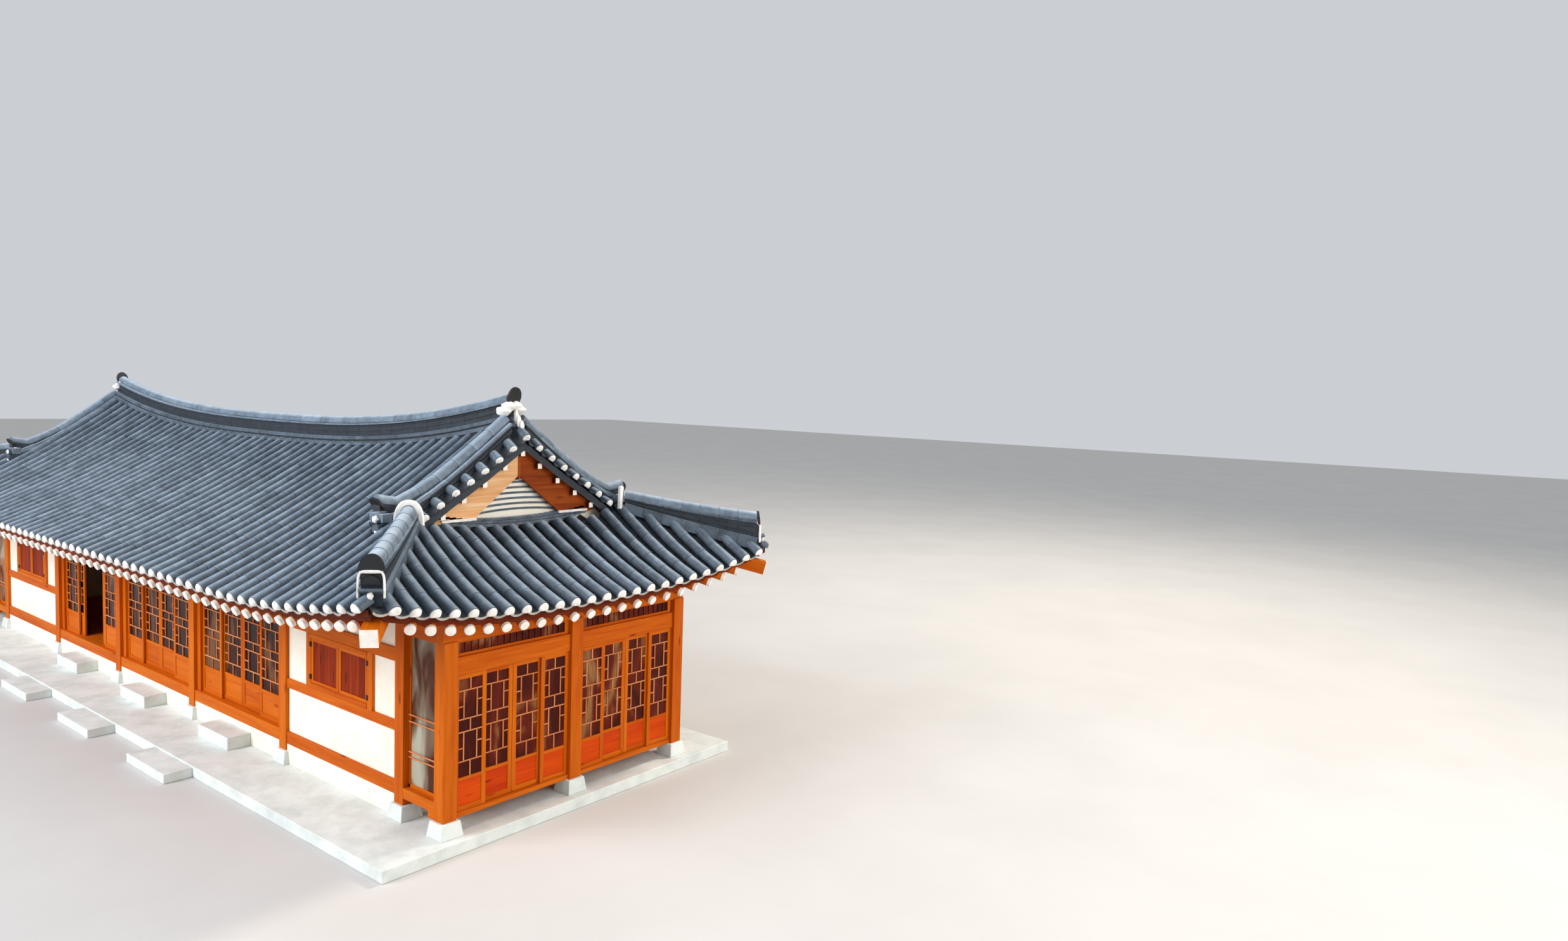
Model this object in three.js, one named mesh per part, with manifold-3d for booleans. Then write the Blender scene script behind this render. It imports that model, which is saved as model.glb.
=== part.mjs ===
// A tile-roofed timber house (hanok): five bays long and two deep, with a hip-and-gable roof and a
// glazed veranda at each gable end. Millimetres, +Z up, +X towards the right gable end, front to -Y.
// The origin is on the ground in the middle of the plan. Heights named *_Z are above the ground.
import * as THREE from 'three';
import { mergeVertices } from 'three/addons/utils/BufferGeometryUtils.js';
import Module from 'manifold-3d';

const wasm = await Module();
wasm.setup();

// Plan
const GAP = 0.3; // between pieces that touch
const BAY = 3030; // post to post along the front
const BAYS = 5;
const HALF_DEPTH = 2040; // one bay of the depth, ridge line to front posts
const VERANDA = 880; // inner gable posts to veranda posts
const POST = 200;
const HALF_POST = POST / 2;
const BODY_X = (BAYS * BAY) / 2;
const END_X = BODY_X + VERANDA;

// Masonry
const PLATFORM_Z = 160;
const PLATFORM_X = END_X + 300;
const PLATFORM_Y = 3080;
const FOOT_Z = 360; // top of the base stones
const STONE_TOP = 270;
const STONE_BOTTOM = 330;
const FOUNDATION_OUT = 80; // low wall under the sills, outwards and inwards of the post line
const FOUNDATION_IN = 160;
const SLAB_LENGTH = 1300;
const SLAB_REACH = 390;
const SLAB_Z = 140;
const SLAB_CENTRES = [-2500, 320, 3150];
const STEP_LENGTH = 1000;
const STEP_DEPTH = 350;

// Timber walls
const SILL_Z = [FOOT_Z + 100, FOOT_Z + 280];
const RAIL_Z = [FOOT_Z + 945, FOOT_Z + 1080];
const LINTEL_Z = [FOOT_Z + 1860, FOOT_Z + 2040];
const POST_TOP = FOOT_Z + 2640;
const BEAM = 170; // width of sills, rails and lintels
const PLASTER = 90;
const WINDOW_BAYS = [0, 4];

// Windows
const WINDOW_WIDTH = 1720;
const SHUTTER_PAIR = 1460;
const SHUTTER_BOTTOM = RAIL_Z[1] + 70;
const SHUTTER_TOP = LINTEL_Z[0] - 60;
const SHUTTER = 40;

// Sliding doors
const JAMB = 120;
const LEAF = 32;
const LEAF_OVERLAP = 35;
const LEAF_MEETING = 3; // half the gap between the two sliding leaves
const TRACK_PITCH = 40; // outer leaves to inner leaves
const TRACK_Y = -HALF_DEPTH + 10; // middle of the outer track
const STILE = 62;
const MID_RAIL = 42;
const PANEL_HEIGHT = 330; // wood panel at the foot of a leaf
const RUNNER = 14; // tongue under a leaf that rides on the sill
const WEB = 8; // glazing and thin panels
const OPEN_BAY_OFFSET = 450; // how far the middle bay's neighbour stands open
const DOOR_RUN = 6; // running gap above and below a leaf

// Verandas
const VERANDA_DOOR_Z = [FOOT_Z + 70, FOOT_Z + 1830];
const VERANDA_LINTEL_Z = [FOOT_Z + 1830, FOOT_Z + 2065];
const VERANDA_BEAM = 150;
const VERANDA_BEAM_Z = FOOT_Z + 2270;
const VERANDA_FLOOR_Z = [FOOT_Z + 170, FOOT_Z + 230];

// Roof surface: the height of the cover tiles' centres
const EAVE_Y = 3500;
const CORNER_Y = 3560;
const EAVE_X = 8950;
const CORNER_X = 9200;
const EAVE_Z = FOOT_Z + 2655;
const GABLE_EAVE_Z = FOOT_Z + 2610;
const CORNER_LIFT = 380;
const LIFT_START = 5300;
const RIDGE_HALF = 7050;
const APEX_Z = FOOT_Z + 4400;
const RIDGE_LIFT = 560;
const STRAIGHT_SHARE = 0.75; // the rest of the rise comes from the slope's hollow curve
const HIP_TOP = [7380, 1890];
const RAKE_X = 7350;
const RAKE_DROP = [240, 110]; // at the ridge line and from RAKE_EASE outwards
const RAKE_EASE = 1209;
const FOOT_X = 7110; // foot of the gable wall
const FOOT_WIDTH = 1250;
const SKIRT_RISE = 850;
const GABLE_WIDTH = 1680;
const GABLE_BOTTOM = FOOT_Z + 3180;
const GABLE_THICK = 100;
const BARGE_X = [7180, 7230];
const BARGE_WIDTH = 1450;
const BARGE_DEPTH = 560;
const TILE_UP = 20; // solid roof above the tile centres
const TILE_ROW_PITCH = 600; // every second row of cover tiles stands out of the solid
const TILE_ROWS = 11; // each side of the middle
const TILE_ROW = [70, 65]; // half width and height
const TILE_ROW_ENDS = [270, 170]; // where a row starts to sink, and is gone, from the ridge line
const RIDGE_SEAT = 21.3; // hip ridges above them
const DESCENT_SEAT = 36; // descending ridges above them
const EAVE_DOWN = 150; // and below them over the eave board
const ROOF_DOWN = 195; // and over the rafters
const EAVE_INSET = 60;
const BOARD_INSET = 150;
const BOARD = 60;
const BOARD_SEAT = 1.4; // eave board below the underside it carries
const REBATE = 220;

// Rafters
const RAFTER_PITCH = 290;
const RAFTER = 65; // radius
const RAFTER_DROP = 280; // rafter axis below the tile centres
const RAFTER_INSET = 120;
const RAFTER_SINK = 30; // inner ends lie this much lower under the hollow of the roof
const FAN_SINK = 75;
const SIDE_SINK = 44;
const RAFTER_INNER_Y = 1980;
const RAFTER_INNER_X = 7540;
const FRONT_LOGS = 30; // each side of the middle
const SIDE_LOGS = 10;
const FAN_X = 7100;
const FAN_POLE_Y = 600;
const SIDE_POLE = [6600, 900];
const HIP_CLEAR = 200;
const HIP_RAFTER = [190, 210];
const HIP_RAFTER_DROP = 294; // its top below the tile centres
const HIP_RAFTER_SHARES = [0.06, 0.9];
const SIDE_BOARD_END = 0.955;
const LOG_UNDER = 390; // tile centres to the underside of the logs over the walls
const HIP_RAFTER_UNDER = 578;
const INNER_LOG_UNDER = 409.4;
const VERANDA_LOG_UNDER = 352;

// Ridges
const RIDGE_STACK = 370;
const RIDGE_WIDTH = 300;
const DESCENT_X = RIDGE_HALF;
const DESCENT = [260, 170];
const DESCENT_FLARE = [1200, 2200, 150]; // it grows so much between these distances from the ridge
const DESCENT_ON_RAKE = 1700; // its outer edge lies on the dropped tiles from here upwards
const HIP_RIDGE = [320, 240];
const HIP_RIDGE_END = 0.9; // share of the hip's length
const HIP_RIDGE_GROWTH = 250; // at that end
const HIP_RIDGE_HUG = 35; // its edges reach so far down past the hip line

const finishes = {
  pine: new THREE.MeshStandardMaterial({ color: '#b5561c', roughness: 0.4 }),
  shutterWood: new THREE.MeshStandardMaterial({ color: '#7c2f14', roughness: 0.5 }),
  plaster: new THREE.MeshStandardMaterial({ color: '#efe9dc', roughness: 0.9 }),
  granite: new THREE.MeshStandardMaterial({ color: '#c9c9c4', roughness: 0.85 }),
  tile: new THREE.MeshStandardMaterial({ color: '#4b535d', roughness: 0.7 }),
};
const house = new THREE.Group();

// Turns a closed geometry into a solid, and a solid back into a geometry.
function welded(geometry) {
  const bare = geometry.clone();
  bare.deleteAttribute('normal');
  bare.deleteAttribute('uv');
  return mergeVertices(bare, 0.001);
}

function solid(geometry) {
  const merged = welded(geometry);
  return new wasm.Manifold(new wasm.Mesh({
    numProp: 3,
    vertProperties: new Float32Array(merged.attributes.position.array),
    triVerts: new Uint32Array(merged.index.array),
  }));
}

function geometryOf(body) {
  const mesh = body.getMesh();
  const geometry = new THREE.BufferGeometry();
  geometry.setAttribute('position', new THREE.BufferAttribute(mesh.vertProperties, 3));
  geometry.setIndex(new THREE.BufferAttribute(mesh.triVerts, 1));
  return geometry;
}

function fuse(geometries) {
  return geometryOf(geometries.map(solid).reduce((whole, piece) => whole.add(piece)));
}

function cut(geometry, tools) {
  return geometryOf(tools.map(solid).reduce((whole, tool) => whole.subtract(tool), solid(geometry)));
}

function block(x, y, z) {
  const box = new THREE.BoxGeometry(x[1] - x[0], y[1] - y[0], z[1] - z[0]);
  return box.translate((x[0] + x[1]) / 2, (y[0] + y[1]) / 2, (z[0] + z[1]) / 2);
}

function span(middle, width) {
  return [middle - width / 2, middle + width / 2];
}

// The same geometry on the other side of the X = 0 plane, faces still outwards.
function mirrored(geometry) {
  const other = welded(geometry).scale(-1, 1, 1);
  const index = other.index.array;
  for (let i = 0; i < index.length; i += 3) {
    [index[i], index[i + 1]] = [index[i + 1], index[i]];
  }
  return other;
}

function turned(geometry) {
  return geometry.clone().rotateZ(Math.PI);
}

function add(name, geometry, finish) {
  const mesh = new THREE.Mesh(geometry, finishes[finish]);
  mesh.name = name;
  house.add(mesh);
}

// A section drawn in (across, height) and carried along the numbered stations; place() gives each point.
function bent(section, stations, place) {
  const steps = stations.length - 1;
  const shape = new THREE.Shape(section.map(([across, height]) => new THREE.Vector2(across, height)));
  const geometry = new THREE.ExtrudeGeometry(shape, { depth: steps, steps, bevelEnabled: false });
  const position = geometry.attributes.position;
  for (let i = 0; i < position.count; i += 1) {
    const station = stations[Math.round(position.getZ(i))];
    position.setXYZ(i, ...place(position.getX(i), position.getY(i), station));
  }
  return geometry;
}

// Roof surface
const eaveY = (x) => EAVE_Y + (CORNER_Y - EAVE_Y) * (Math.abs(x) / CORNER_X) ** 4;
const cornerShare = (x) => Math.max(0, Math.abs(x) - LIFT_START) / (CORNER_X - LIFT_START);
const eaveZ = (x) => EAVE_Z + CORNER_LIFT * cornerShare(x) ** 2;
const apexZ = (x) => APEX_Z + RIDGE_LIFT * (Math.abs(x) / RIDGE_HALF) ** 2.7;
const rise = (t) => t * (STRAIGHT_SHARE + (1 - STRAIGHT_SHARE) * t);
const hipX = (y) => HIP_TOP[0] + ((y - HIP_TOP[1]) * (CORNER_X - HIP_TOP[0])) / (CORNER_Y - HIP_TOP[1]);

// The part of a main slope that the raised tile rows cover
const ROWS_REACH = TILE_ROWS * TILE_ROW_PITCH + TILE_ROW[0];

// Share of the way up a slope, 0 at the eave and 1 at the ridge line, where the hips start.
const HIP_SHARE = 1 - HIP_TOP[1] / eaveY(HIP_TOP[0]);

function mainZ(x, y) {
  const t = 1 - Math.abs(y) / eaveY(x);
  return eaveZ(x) + (apexZ(x) - eaveZ(x)) * rise(t);
}

function hipPoint(t) {
  let x = CORNER_X;
  for (let turn = 0; turn < 8; turn += 1) {
    x = hipX((1 - t) * eaveY(x));
  }
  return [x, (1 - t) * eaveY(x)];
}

// The tiles drop past the end of the ridge, most of all near the ridge line.
function rakeZ(x, y) {
  const overhang = Math.min(1, Math.max(0, Math.abs(x) - RIDGE_HALF) / (RAKE_X - RIDGE_HALF));
  const drop = THREE.MathUtils.lerp(...RAKE_DROP, Math.min(1, Math.abs(y) / RAKE_EASE));
  return mainZ(Math.min(Math.abs(x), RIDGE_HALF), y) - drop * overhang;
}

// A point of a main slope on the front side: t up the slope, s from -1 to 1 along it, h above it.
// The tile rows run straight up the slope, so only the strip beyond them widens towards the corners.
function mainPoint(t, h, s) {
  const reach = t < HIP_SHARE + 1e-6 ? hipPoint(t)[0] - GAP : RAKE_X;
  const beyond = Math.max(0, Math.abs(s) * RAKE_X - ROWS_REACH) / (RAKE_X - ROWS_REACH);
  const x = Math.sign(s) * (Math.min(Math.abs(s) * RAKE_X, ROWS_REACH) + beyond * (reach - ROWS_REACH));
  const y = (1 - t) * eaveY(x);
  const z = t < HIP_SHARE + 1e-6 ? mainZ(x, y) : rakeZ(x, y);
  return [x, -Math.max(y, GAP), z + h];
}

function skirtZ(x, y) {
  const centre = (EAVE_X - x) / (EAVE_X - FOOT_X);
  return GABLE_EAVE_Z + SKIRT_RISE * rise(Math.max(0, centre)) + sideLift(x) * Math.abs(y) ** 2.4;
}

// The hip skirt rises towards its hips, so that it meets the main slopes there.
function sideLift(x) {
  const u = Math.min(1, Math.max(0, (EAVE_X - x) / (EAVE_X - HIP_TOP[0])));
  const [hx, hy] = hipPoint(u * HIP_SHARE);
  const centreZ = GABLE_EAVE_Z + SKIRT_RISE * rise(Math.max(0, (EAVE_X - x) / (EAVE_X - FOOT_X)));
  return (mainZ(hx, hy) - centreZ) / hy ** 2.4;
}

// A point of the right hip skirt: u is 0 at the eave, 1 at the hip tops and 2 at the gable wall's foot.
function skirtPoint(u, h, s) {
  if (u > 1 + 1e-6) {
    const x = THREE.MathUtils.lerp(RAKE_X, FOOT_X, u - 1);
    const y = s * FOOT_WIDTH;
    return [x, y, skirtZ(x, y) + h];
  }
  const [hx, hy] = hipPoint(u * HIP_SHARE);
  const centreX = THREE.MathUtils.lerp(EAVE_X, HIP_TOP[0], u);
  const y = s * (hy - GAP);
  return [centreX + (hx + GAP - centreX) * s * s, y, skirtZ(centreX, y) + h];
}

// A point of the skirt by its distance up the slope and its real y.
function skirtAt(u, h, y) {
  return skirtPoint(u, h, y / (hipPoint(u * HIP_SHARE)[1] - GAP));
}

// Height of the skirt over a plan point below the hip tops.
function skirtHeight(x, y) {
  let centreX = x;
  for (let turn = 0; turn < 6; turn += 1) {
    const u = (EAVE_X - centreX) / (EAVE_X - HIP_TOP[0]);
    centreX += x - skirtAt(u, 0, y)[0];
  }
  return skirtZ(centreX, y);
}

// A slab whose top and underside are given row by row as [share up the slope, height].
function slab(top, under, stations, place) {
  const rows = top.length - 1;
  const steps = stations.length - 1;
  const geometry = new THREE.BoxGeometry(rows, 1, steps, rows, 1, steps);
  const position = geometry.attributes.position;
  for (let i = 0; i < position.count; i += 1) {
    const row = (position.getY(i) > 0 ? top : under)[Math.round(position.getX(i) + rows / 2)];
    position.setXYZ(i, ...place(...row, stations[Math.round(position.getZ(i) + steps / 2)]));
  }
  return geometry;
}

// The solid of a slope: its underside steps up over the eave board.
function slope(rows, run, stations, place) {
  const shares = [EAVE_INSET / run, REBATE / run, (REBATE + 4) / run, ...rows];
  const top = shares.map((t) => [t, TILE_UP]);
  const under = shares.map((t, i) => [t, i < 2 ? -EAVE_DOWN : -ROOF_DOWN]);
  return slab(top, under, stations, place);
}

const ridgeStations = Array.from({ length: 13 }, (_, i) => (i * RIDGE_HALF) / 12);
const bothSides = (list) => [...list.slice(1).reverse().map((v) => -v), ...list];
const many = (count, pitch) => Array.from({ length: 2 * count + 1 }, (_, i) => (i - count) * pitch);
const rowLines = many(TILE_ROWS, TILE_ROW_PITCH);
const descentLines = [-0.5, 0, 0.5].map((n) => DESCENT_X + n * DESCENT[0]).concat([RAKE_X]);
const mainStations = [
  ...descentLines.map((x) => -x).reverse(),
  ...rowLines.flatMap((x) => [x - TILE_ROW[0], x, x + TILE_ROW[0]]),
  ...descentLines,
].map((x) => x / RAKE_X);
const rowEnds = TILE_ROW_ENDS.map((y) => 1 - y / EAVE_Y);
const mainRows = [0.25, 0.5, 0.75, 1].map((n) => n * HIP_SHARE)
  .concat([0.04, 0.36, 0.68].map((n) => HIP_SHARE + n * (1 - HIP_SHARE)), rowEnds, [1]);
const onRow = (s) => rowLines.some((x) => Math.abs(s * RAKE_X - x) < 1);

function tiledPoint(t, h, s) {
  const crest = h > 0 && t <= rowEnds[0] && onRow(s) ? TILE_ROW[1] : 0;
  return mainPoint(t, h + crest, s);
}

const mainSlope = slope(mainRows, EAVE_Y, mainStations, tiledPoint);

const skirtStations = Array.from({ length: 13 }, (_, i) => (i - 6) / 6);
const skirtRows = [0.25, 0.5, 0.75, 1, 1.02, 2];
const skirt = slope(skirtRows, EAVE_X - HIP_TOP[0], skirtStations, skirtPoint);

add('front_roof', mainSlope, 'tile');
add('back_roof', turned(mainSlope), 'tile');
add('right_roof', skirt, 'tile');
add('left_roof', turned(skirt), 'tile');

// Main ridge: a stack with a rounded top that rides on the apex and lifts towards both ends.
function ridgeSection(width, height, base) {
  const half = width / 2;
  const crown = [0.12, 0.38, 0.62, 0.88].map((n) => {
    const angle = n * Math.PI;
    return [Math.cos(angle) * half * 0.62, height - half * 0.5 + Math.sin(angle) * half * 0.5];
  });
  return [...base, [half * 0.8, height - half * 0.6], ...crown, [-half * 0.8, height - half * 0.6]];
}

const ridgeBase = [[-RIDGE_WIDTH / 2, -1], [0, 0], [RIDGE_WIDTH / 2, -1]];
const mainRidge = bent(
  ridgeSection(RIDGE_WIDTH, RIDGE_STACK, ridgeBase),
  bothSides(ridgeStations),
  (across, height, x) => {
    const drop = height < 0 ? apexZ(x) - mainZ(x, RIDGE_WIDTH / 2) - 6 : 0;
    return [x, across, apexZ(x) + TILE_UP + 1 + Math.max(0, height) - drop];
  },
);
add('main_ridge', mainRidge, 'tile');

// Corner ridges: a descending ridge along the rake, and a hip ridge from its foot to the corner. Both
// grow towards their lower ends, so that these stand up.
const spanning = (width) => [[-width / 2, 0], [0, 0], [width / 2, 0]];
const descentRows = mainRows.filter((t) => t > HIP_SHARE && t <= rowEnds[0]);
const [firstRow, ...upperRows] = descentRows.map((t) => -(1 - t) * eaveY(DESCENT_X));
const descentStations = [
  -DESCENT_FLARE[1],
  -HIP_TOP[1],
  firstRow,
  -DESCENT_ON_RAKE,
  ...upperRows,
  -RIDGE_WIDTH / 2 - 6,
];
const descent = bent(
  ridgeSection(...DESCENT, spanning(DESCENT[0])),
  descentStations,
  (across, height, y) => {
    const flare = Math.max(0, (-y - DESCENT_FLARE[0]) / (DESCENT_FLARE[1] - DESCENT_FLARE[0]));
    const grown = height * (1 + (flare ** 1.5 * DESCENT_FLARE[2]) / DESCENT[1]);
    const edge = DESCENT_X - across;
    const onRake = height === 0 && -y <= DESCENT_ON_RAKE;
    const under = onRake ? rakeZ(edge, y) : mainZ(height > 0 ? DESCENT_X : edge, y);
    return [DESCENT_X - across, y, under + DESCENT_SEAT + grown];
  },
);
const hipStops = [-0.13, -0.07, 0.02, 0.25, 0.5, 0.75, HIP_RIDGE_END];
const hipShares = hipStops.map((n) => HIP_SHARE * (1 - n));
const hipDirection = new THREE.Vector2(CORNER_X - HIP_TOP[0], HIP_TOP[1] - CORNER_Y).normalize();
const hipRidge = bent(
  ridgeSection(...HIP_RIDGE, spanning(HIP_RIDGE[0])),
  hipShares,
  (across, height, t) => {
    const [x, y] = hipPoint(t);
    const edge = [x - across * hipDirection.y, y - across * hipDirection.x];
    const share = Math.max(0, 1 - t / HIP_SHARE) / HIP_RIDGE_END;
    const grown = height * (1 + (share * HIP_RIDGE_GROWTH) / HIP_RIDGE[1]);
    const hug = height > 0 || across === 0 || t > HIP_SHARE ? 0 : HIP_RIDGE_HUG;
    return [edge[0], -edge[1], mainZ(x, y) + RIDGE_SEAT - hug + grown];
  },
);
const cornerRidge = fuse([descent, hipRidge]);
add('front_right_ridge', cornerRidge, 'tile');
add('back_left_ridge', turned(cornerRidge), 'tile');
add('front_left_ridge', mirrored(cornerRidge), 'tile');
add('back_right_ridge', turned(mirrored(cornerRidge)), 'tile');

// Rafters: logs under an eave board. Past the fan line they turn towards a pole and stop at the hip
// rafter.
function log(from, to) {
  const start = new THREE.Vector3(...from);
  const along = new THREE.Vector3(...to).sub(start);
  const piece = new THREE.CylinderGeometry(RAFTER, RAFTER, along.length(), 4);
  const upright = new THREE.Vector3(0, 1, 0);
  const turn = new THREE.Quaternion().setFromUnitVectors(upright, along.clone().normalize());
  return piece.applyQuaternion(turn).translate(...start.addScaledVector(along, 0.5).toArray());
}

const boardSection = [
  [BOARD_INSET, -EAVE_DOWN - BOARD_SEAT],
  [BOARD_INSET, -RAFTER_DROP + RAFTER - 20],
  [BOARD_INSET + BOARD, -RAFTER_DROP + RAFTER - 20],
  [BOARD_INSET + BOARD, -EAVE_DOWN - BOARD_SEAT],
];
const frontBoard = bent(boardSection, mainStations, (inset, h, s) => mainPoint(inset / EAVE_Y, h, s));
const sideBoardStations = skirtStations
  .map((s) => THREE.MathUtils.clamp(s, -SIDE_BOARD_END, SIDE_BOARD_END));
const sideBoard = bent(boardSection, sideBoardStations, (inset, h, s) => (
  skirtPoint(inset / (EAVE_X - HIP_TOP[0]), h, s)
));

function frontLog(x) {
  const y = eaveY(x) - RAFTER_INSET;
  const outer = [x, -y, mainZ(x, y) - RAFTER_DROP];
  let inner = [x, RAFTER_INNER_Y];
  if (Math.abs(x) > FAN_X) {
    const toPole = [Math.abs(x) - FAN_X, y - FAN_POLE_Y];
    const room = hipX(y) - Math.abs(x) - HIP_CLEAR;
    const slant = (toPole[1] * (CORNER_X - HIP_TOP[0])) / (CORNER_Y - HIP_TOP[1]) - toPole[0];
    const share = Math.min(room / slant, (y - RAFTER_INNER_Y) / toPole[1]);
    inner = [Math.sign(x) * (Math.abs(x) - share * toPole[0]), y - share * toPole[1]];
  }
  const sink = Math.abs(x) > FAN_X ? FAN_SINK : RAFTER_SINK;
  return log(outer, [inner[0], -inner[1], mainZ(...inner) - RAFTER_DROP - sink]);
}

function sideLog(y) {
  const outer = skirtAt(RAFTER_INSET / (EAVE_X - HIP_TOP[0]), -RAFTER_DROP, y);
  const share = (outer[0] - RAFTER_INNER_X) / (outer[0] - SIDE_POLE[0]);
  const innerY = Math.abs(y) > SIDE_POLE[1] ? y - share * (y - Math.sign(y) * SIDE_POLE[1]) : y;
  const innerZ = skirtHeight(RAFTER_INNER_X, innerY) - RAFTER_DROP - SIDE_SINK;
  return log(outer, [RAFTER_INNER_X, innerY, innerZ]);
}

function hipRafter(side) {
  const [t0, t1] = HIP_RAFTER_SHARES.map((n) => n * HIP_SHARE);
  const section = [[-1, -1], [1, -1], [1, 1], [-1, 1]].map(([a, b]) => [
    (a * HIP_RAFTER[0]) / 2,
    -HIP_RAFTER_DROP + ((b - 1) * HIP_RAFTER[1]) / 2,
  ]);
  const piece = bent(section, [t1, t0], (across, h, t) => {
    const [x, y] = hipPoint(t);
    return [x - across * hipDirection.y, -y + across * hipDirection.x, mainZ(x, y) + h];
  });
  return side > 0 ? piece : mirrored(piece);
}

const frontRafters = fuse([
  frontBoard,
  ...many(FRONT_LOGS, RAFTER_PITCH).map(frontLog),
  hipRafter(1),
  hipRafter(-1),
]);
const sideRafters = fuse([sideBoard, ...many(SIDE_LOGS, RAFTER_PITCH).map(sideLog)]);
add('front_rafters', frontRafters, 'pine');
add('back_rafters', turned(frontRafters), 'pine');
add('right_rafters', sideRafters, 'pine');
add('left_rafters', turned(sideRafters), 'pine');

// Gable walls and bargeboards hang under the rake of the main slopes.
const rakeUnder = (x, y) => rakeZ(x, y) - ROOF_DOWN - 6;

function standing(profile, x) {
  const shape = new THREE.Shape(profile.map(([y, z]) => new THREE.Vector2(y, z)));
  const sheet = new THREE.ExtrudeGeometry(shape, { depth: x[1] - x[0], bevelEnabled: false });
  return sheet.applyMatrix4(new THREE.Matrix4().set(0, 0, 1, x[0], 1, 0, 0, 0, 0, 1, 0, 0, 0, 0, 0, 1));
}

const rakeSteps = [-1, -0.8, -0.6, -0.4, -0.2, 0, 0.2, 0.4, 0.6, 0.8, 1];
const gableTop = rakeSteps.map((n) => [n * GABLE_WIDTH, rakeUnder(FOOT_X, n * GABLE_WIDTH)]);
const gableWall = standing(
  [[-GABLE_WIDTH, GABLE_BOTTOM], [GABLE_WIDTH, GABLE_BOTTOM], ...gableTop.reverse()],
  [FOOT_X - GABLE_THICK, FOOT_X - GAP],
);
add('right_gable_wall', gableWall, 'plaster');
add('left_gable_wall', turned(gableWall), 'plaster');

const bargeTop = rakeSteps.map((n) => [n * BARGE_WIDTH, rakeUnder(BARGE_X[1], n * BARGE_WIDTH)]);
const bargeUnder = bargeTop.map(([y, z]) => [
  y,
  Math.max(z - BARGE_DEPTH, skirtZ(BARGE_X[0], y) + TILE_UP + 4.6),
]);
const bargeboards = standing([...bargeUnder, ...bargeTop.reverse()], BARGE_X);
add('right_bargeboards', bargeboards, 'pine');
add('left_bargeboards', turned(bargeboards), 'pine');

// Masonry: the platform carries the base stones, the low foundation walls and the entry slabs.
function baseStone(x, y) {
  const stone = new THREE.CylinderGeometry(STONE_TOP / Math.SQRT2, STONE_BOTTOM / Math.SQRT2, 1, 4);
  const height = FOOT_Z - GAP - PLATFORM_Z + 10;
  stone.rotateY(Math.PI / 4).rotateX(Math.PI / 2).scale(1, 1, height);
  return stone.translate(x, y, FOOT_Z - GAP - height / 2);
}

const postLines = Array.from({ length: BAYS + 1 }, (_, i) => -BODY_X + i * BAY);
const bayCentres = Array.from({ length: BAYS }, (_, i) => -BODY_X + (i + 0.5) * BAY);
const foundationZ = [PLATFORM_Z - 10, SILL_Z[0] - GAP];
const masonry = [block([-PLATFORM_X, PLATFORM_X], [-PLATFORM_Y, PLATFORM_Y], [0, PLATFORM_Z])];
for (const side of [-1, 1]) {
  const edge = side * (HALF_DEPTH + FOUNDATION_OUT);
  const ledge = side * (HALF_DEPTH - FOUNDATION_IN);
  for (const x of bayCentres) {
    const wide = span(x, BAY - POST - 2 * GAP);
    masonry.push(block(wide, [Math.min(edge, ledge), Math.max(edge, ledge)], foundationZ));
  }
  for (const x of postLines) {
    masonry.push(baseStone(x, side * HALF_DEPTH));
  }
  masonry.push(baseStone(side * BODY_X, 0));
  const outer = side * (BODY_X + FOUNDATION_OUT);
  const inner = side * (BODY_X - FOUNDATION_IN);
  for (const y of [-HALF_DEPTH / 2, HALF_DEPTH / 2]) {
    const wide = span(y, HALF_DEPTH - POST - 2 * GAP);
    masonry.push(block([Math.min(outer, inner), Math.max(outer, inner)], wide, foundationZ));
  }
  for (const y of [-HALF_DEPTH, 0, HALF_DEPTH]) {
    masonry.push(baseStone(side * END_X, y));
  }
}
for (const x of SLAB_CENTRES) {
  masonry.push(block(span(x, SLAB_LENGTH), [-PLATFORM_Y - SLAB_REACH, -PLATFORM_Y + 5], [0, SLAB_Z]));
}
add('stone_platform', fuse(masonry), 'granite');

const STEP_BACK = -HALF_DEPTH - FOUNDATION_OUT - GAP;
bayCentres.slice(1, 4).forEach((x, i) => {
  const depth = [STEP_BACK - STEP_DEPTH, STEP_BACK];
  const step = block(span(x, STEP_LENGTH), depth, [PLATFORM_Z + GAP, FOOT_Z]);
  add(`step_block_${i + 1}`, step, 'granite');
});

// Floors: the room's heated floor lies on the foundation ledge, the verandas have boards between
// their beams.
const roomX = BODY_X - HALF_POST - GAP;
const roomY = HALF_DEPTH - HALF_POST - GAP;
add('room_floor', block([-roomX, roomX], [-roomY, roomY], SILL_Z), 'pine');
const verandaFloor = block(
  [BODY_X + HALF_POST + GAP, END_X - HALF_POST - GAP],
  [-HALF_DEPTH - BEAM / 2, HALF_DEPTH + BEAM / 2],
  VERANDA_FLOOR_Z,
);
add('right_veranda_floor', verandaFloor, 'pine');
add('left_veranda_floor', turned(verandaFloor), 'pine');

// Long frames: six posts, a sill through them, and an eave beam that fills up to the rafters.
function eaveBeam() {
  const edges = [0, 1500, 3000, 4200, 5200, 6000, FAN_X - 250, FAN_X + 100, BODY_X + HALF_POST];
  const section = [[-BEAM / 2, 0], [BEAM / 2, 0], [BEAM / 2, 1], [-BEAM / 2, 1]];
  return bent(section, bothSides(edges), (across, top, x) => {
    const under = Math.abs(x) > FAN_X ? HIP_RAFTER_UNDER : LOG_UNDER;
    return [x, -HALF_DEPTH + across, top > 0.5 ? mainZ(x, HALF_DEPTH - across) - under : POST_TOP - 20];
  });
}

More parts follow.
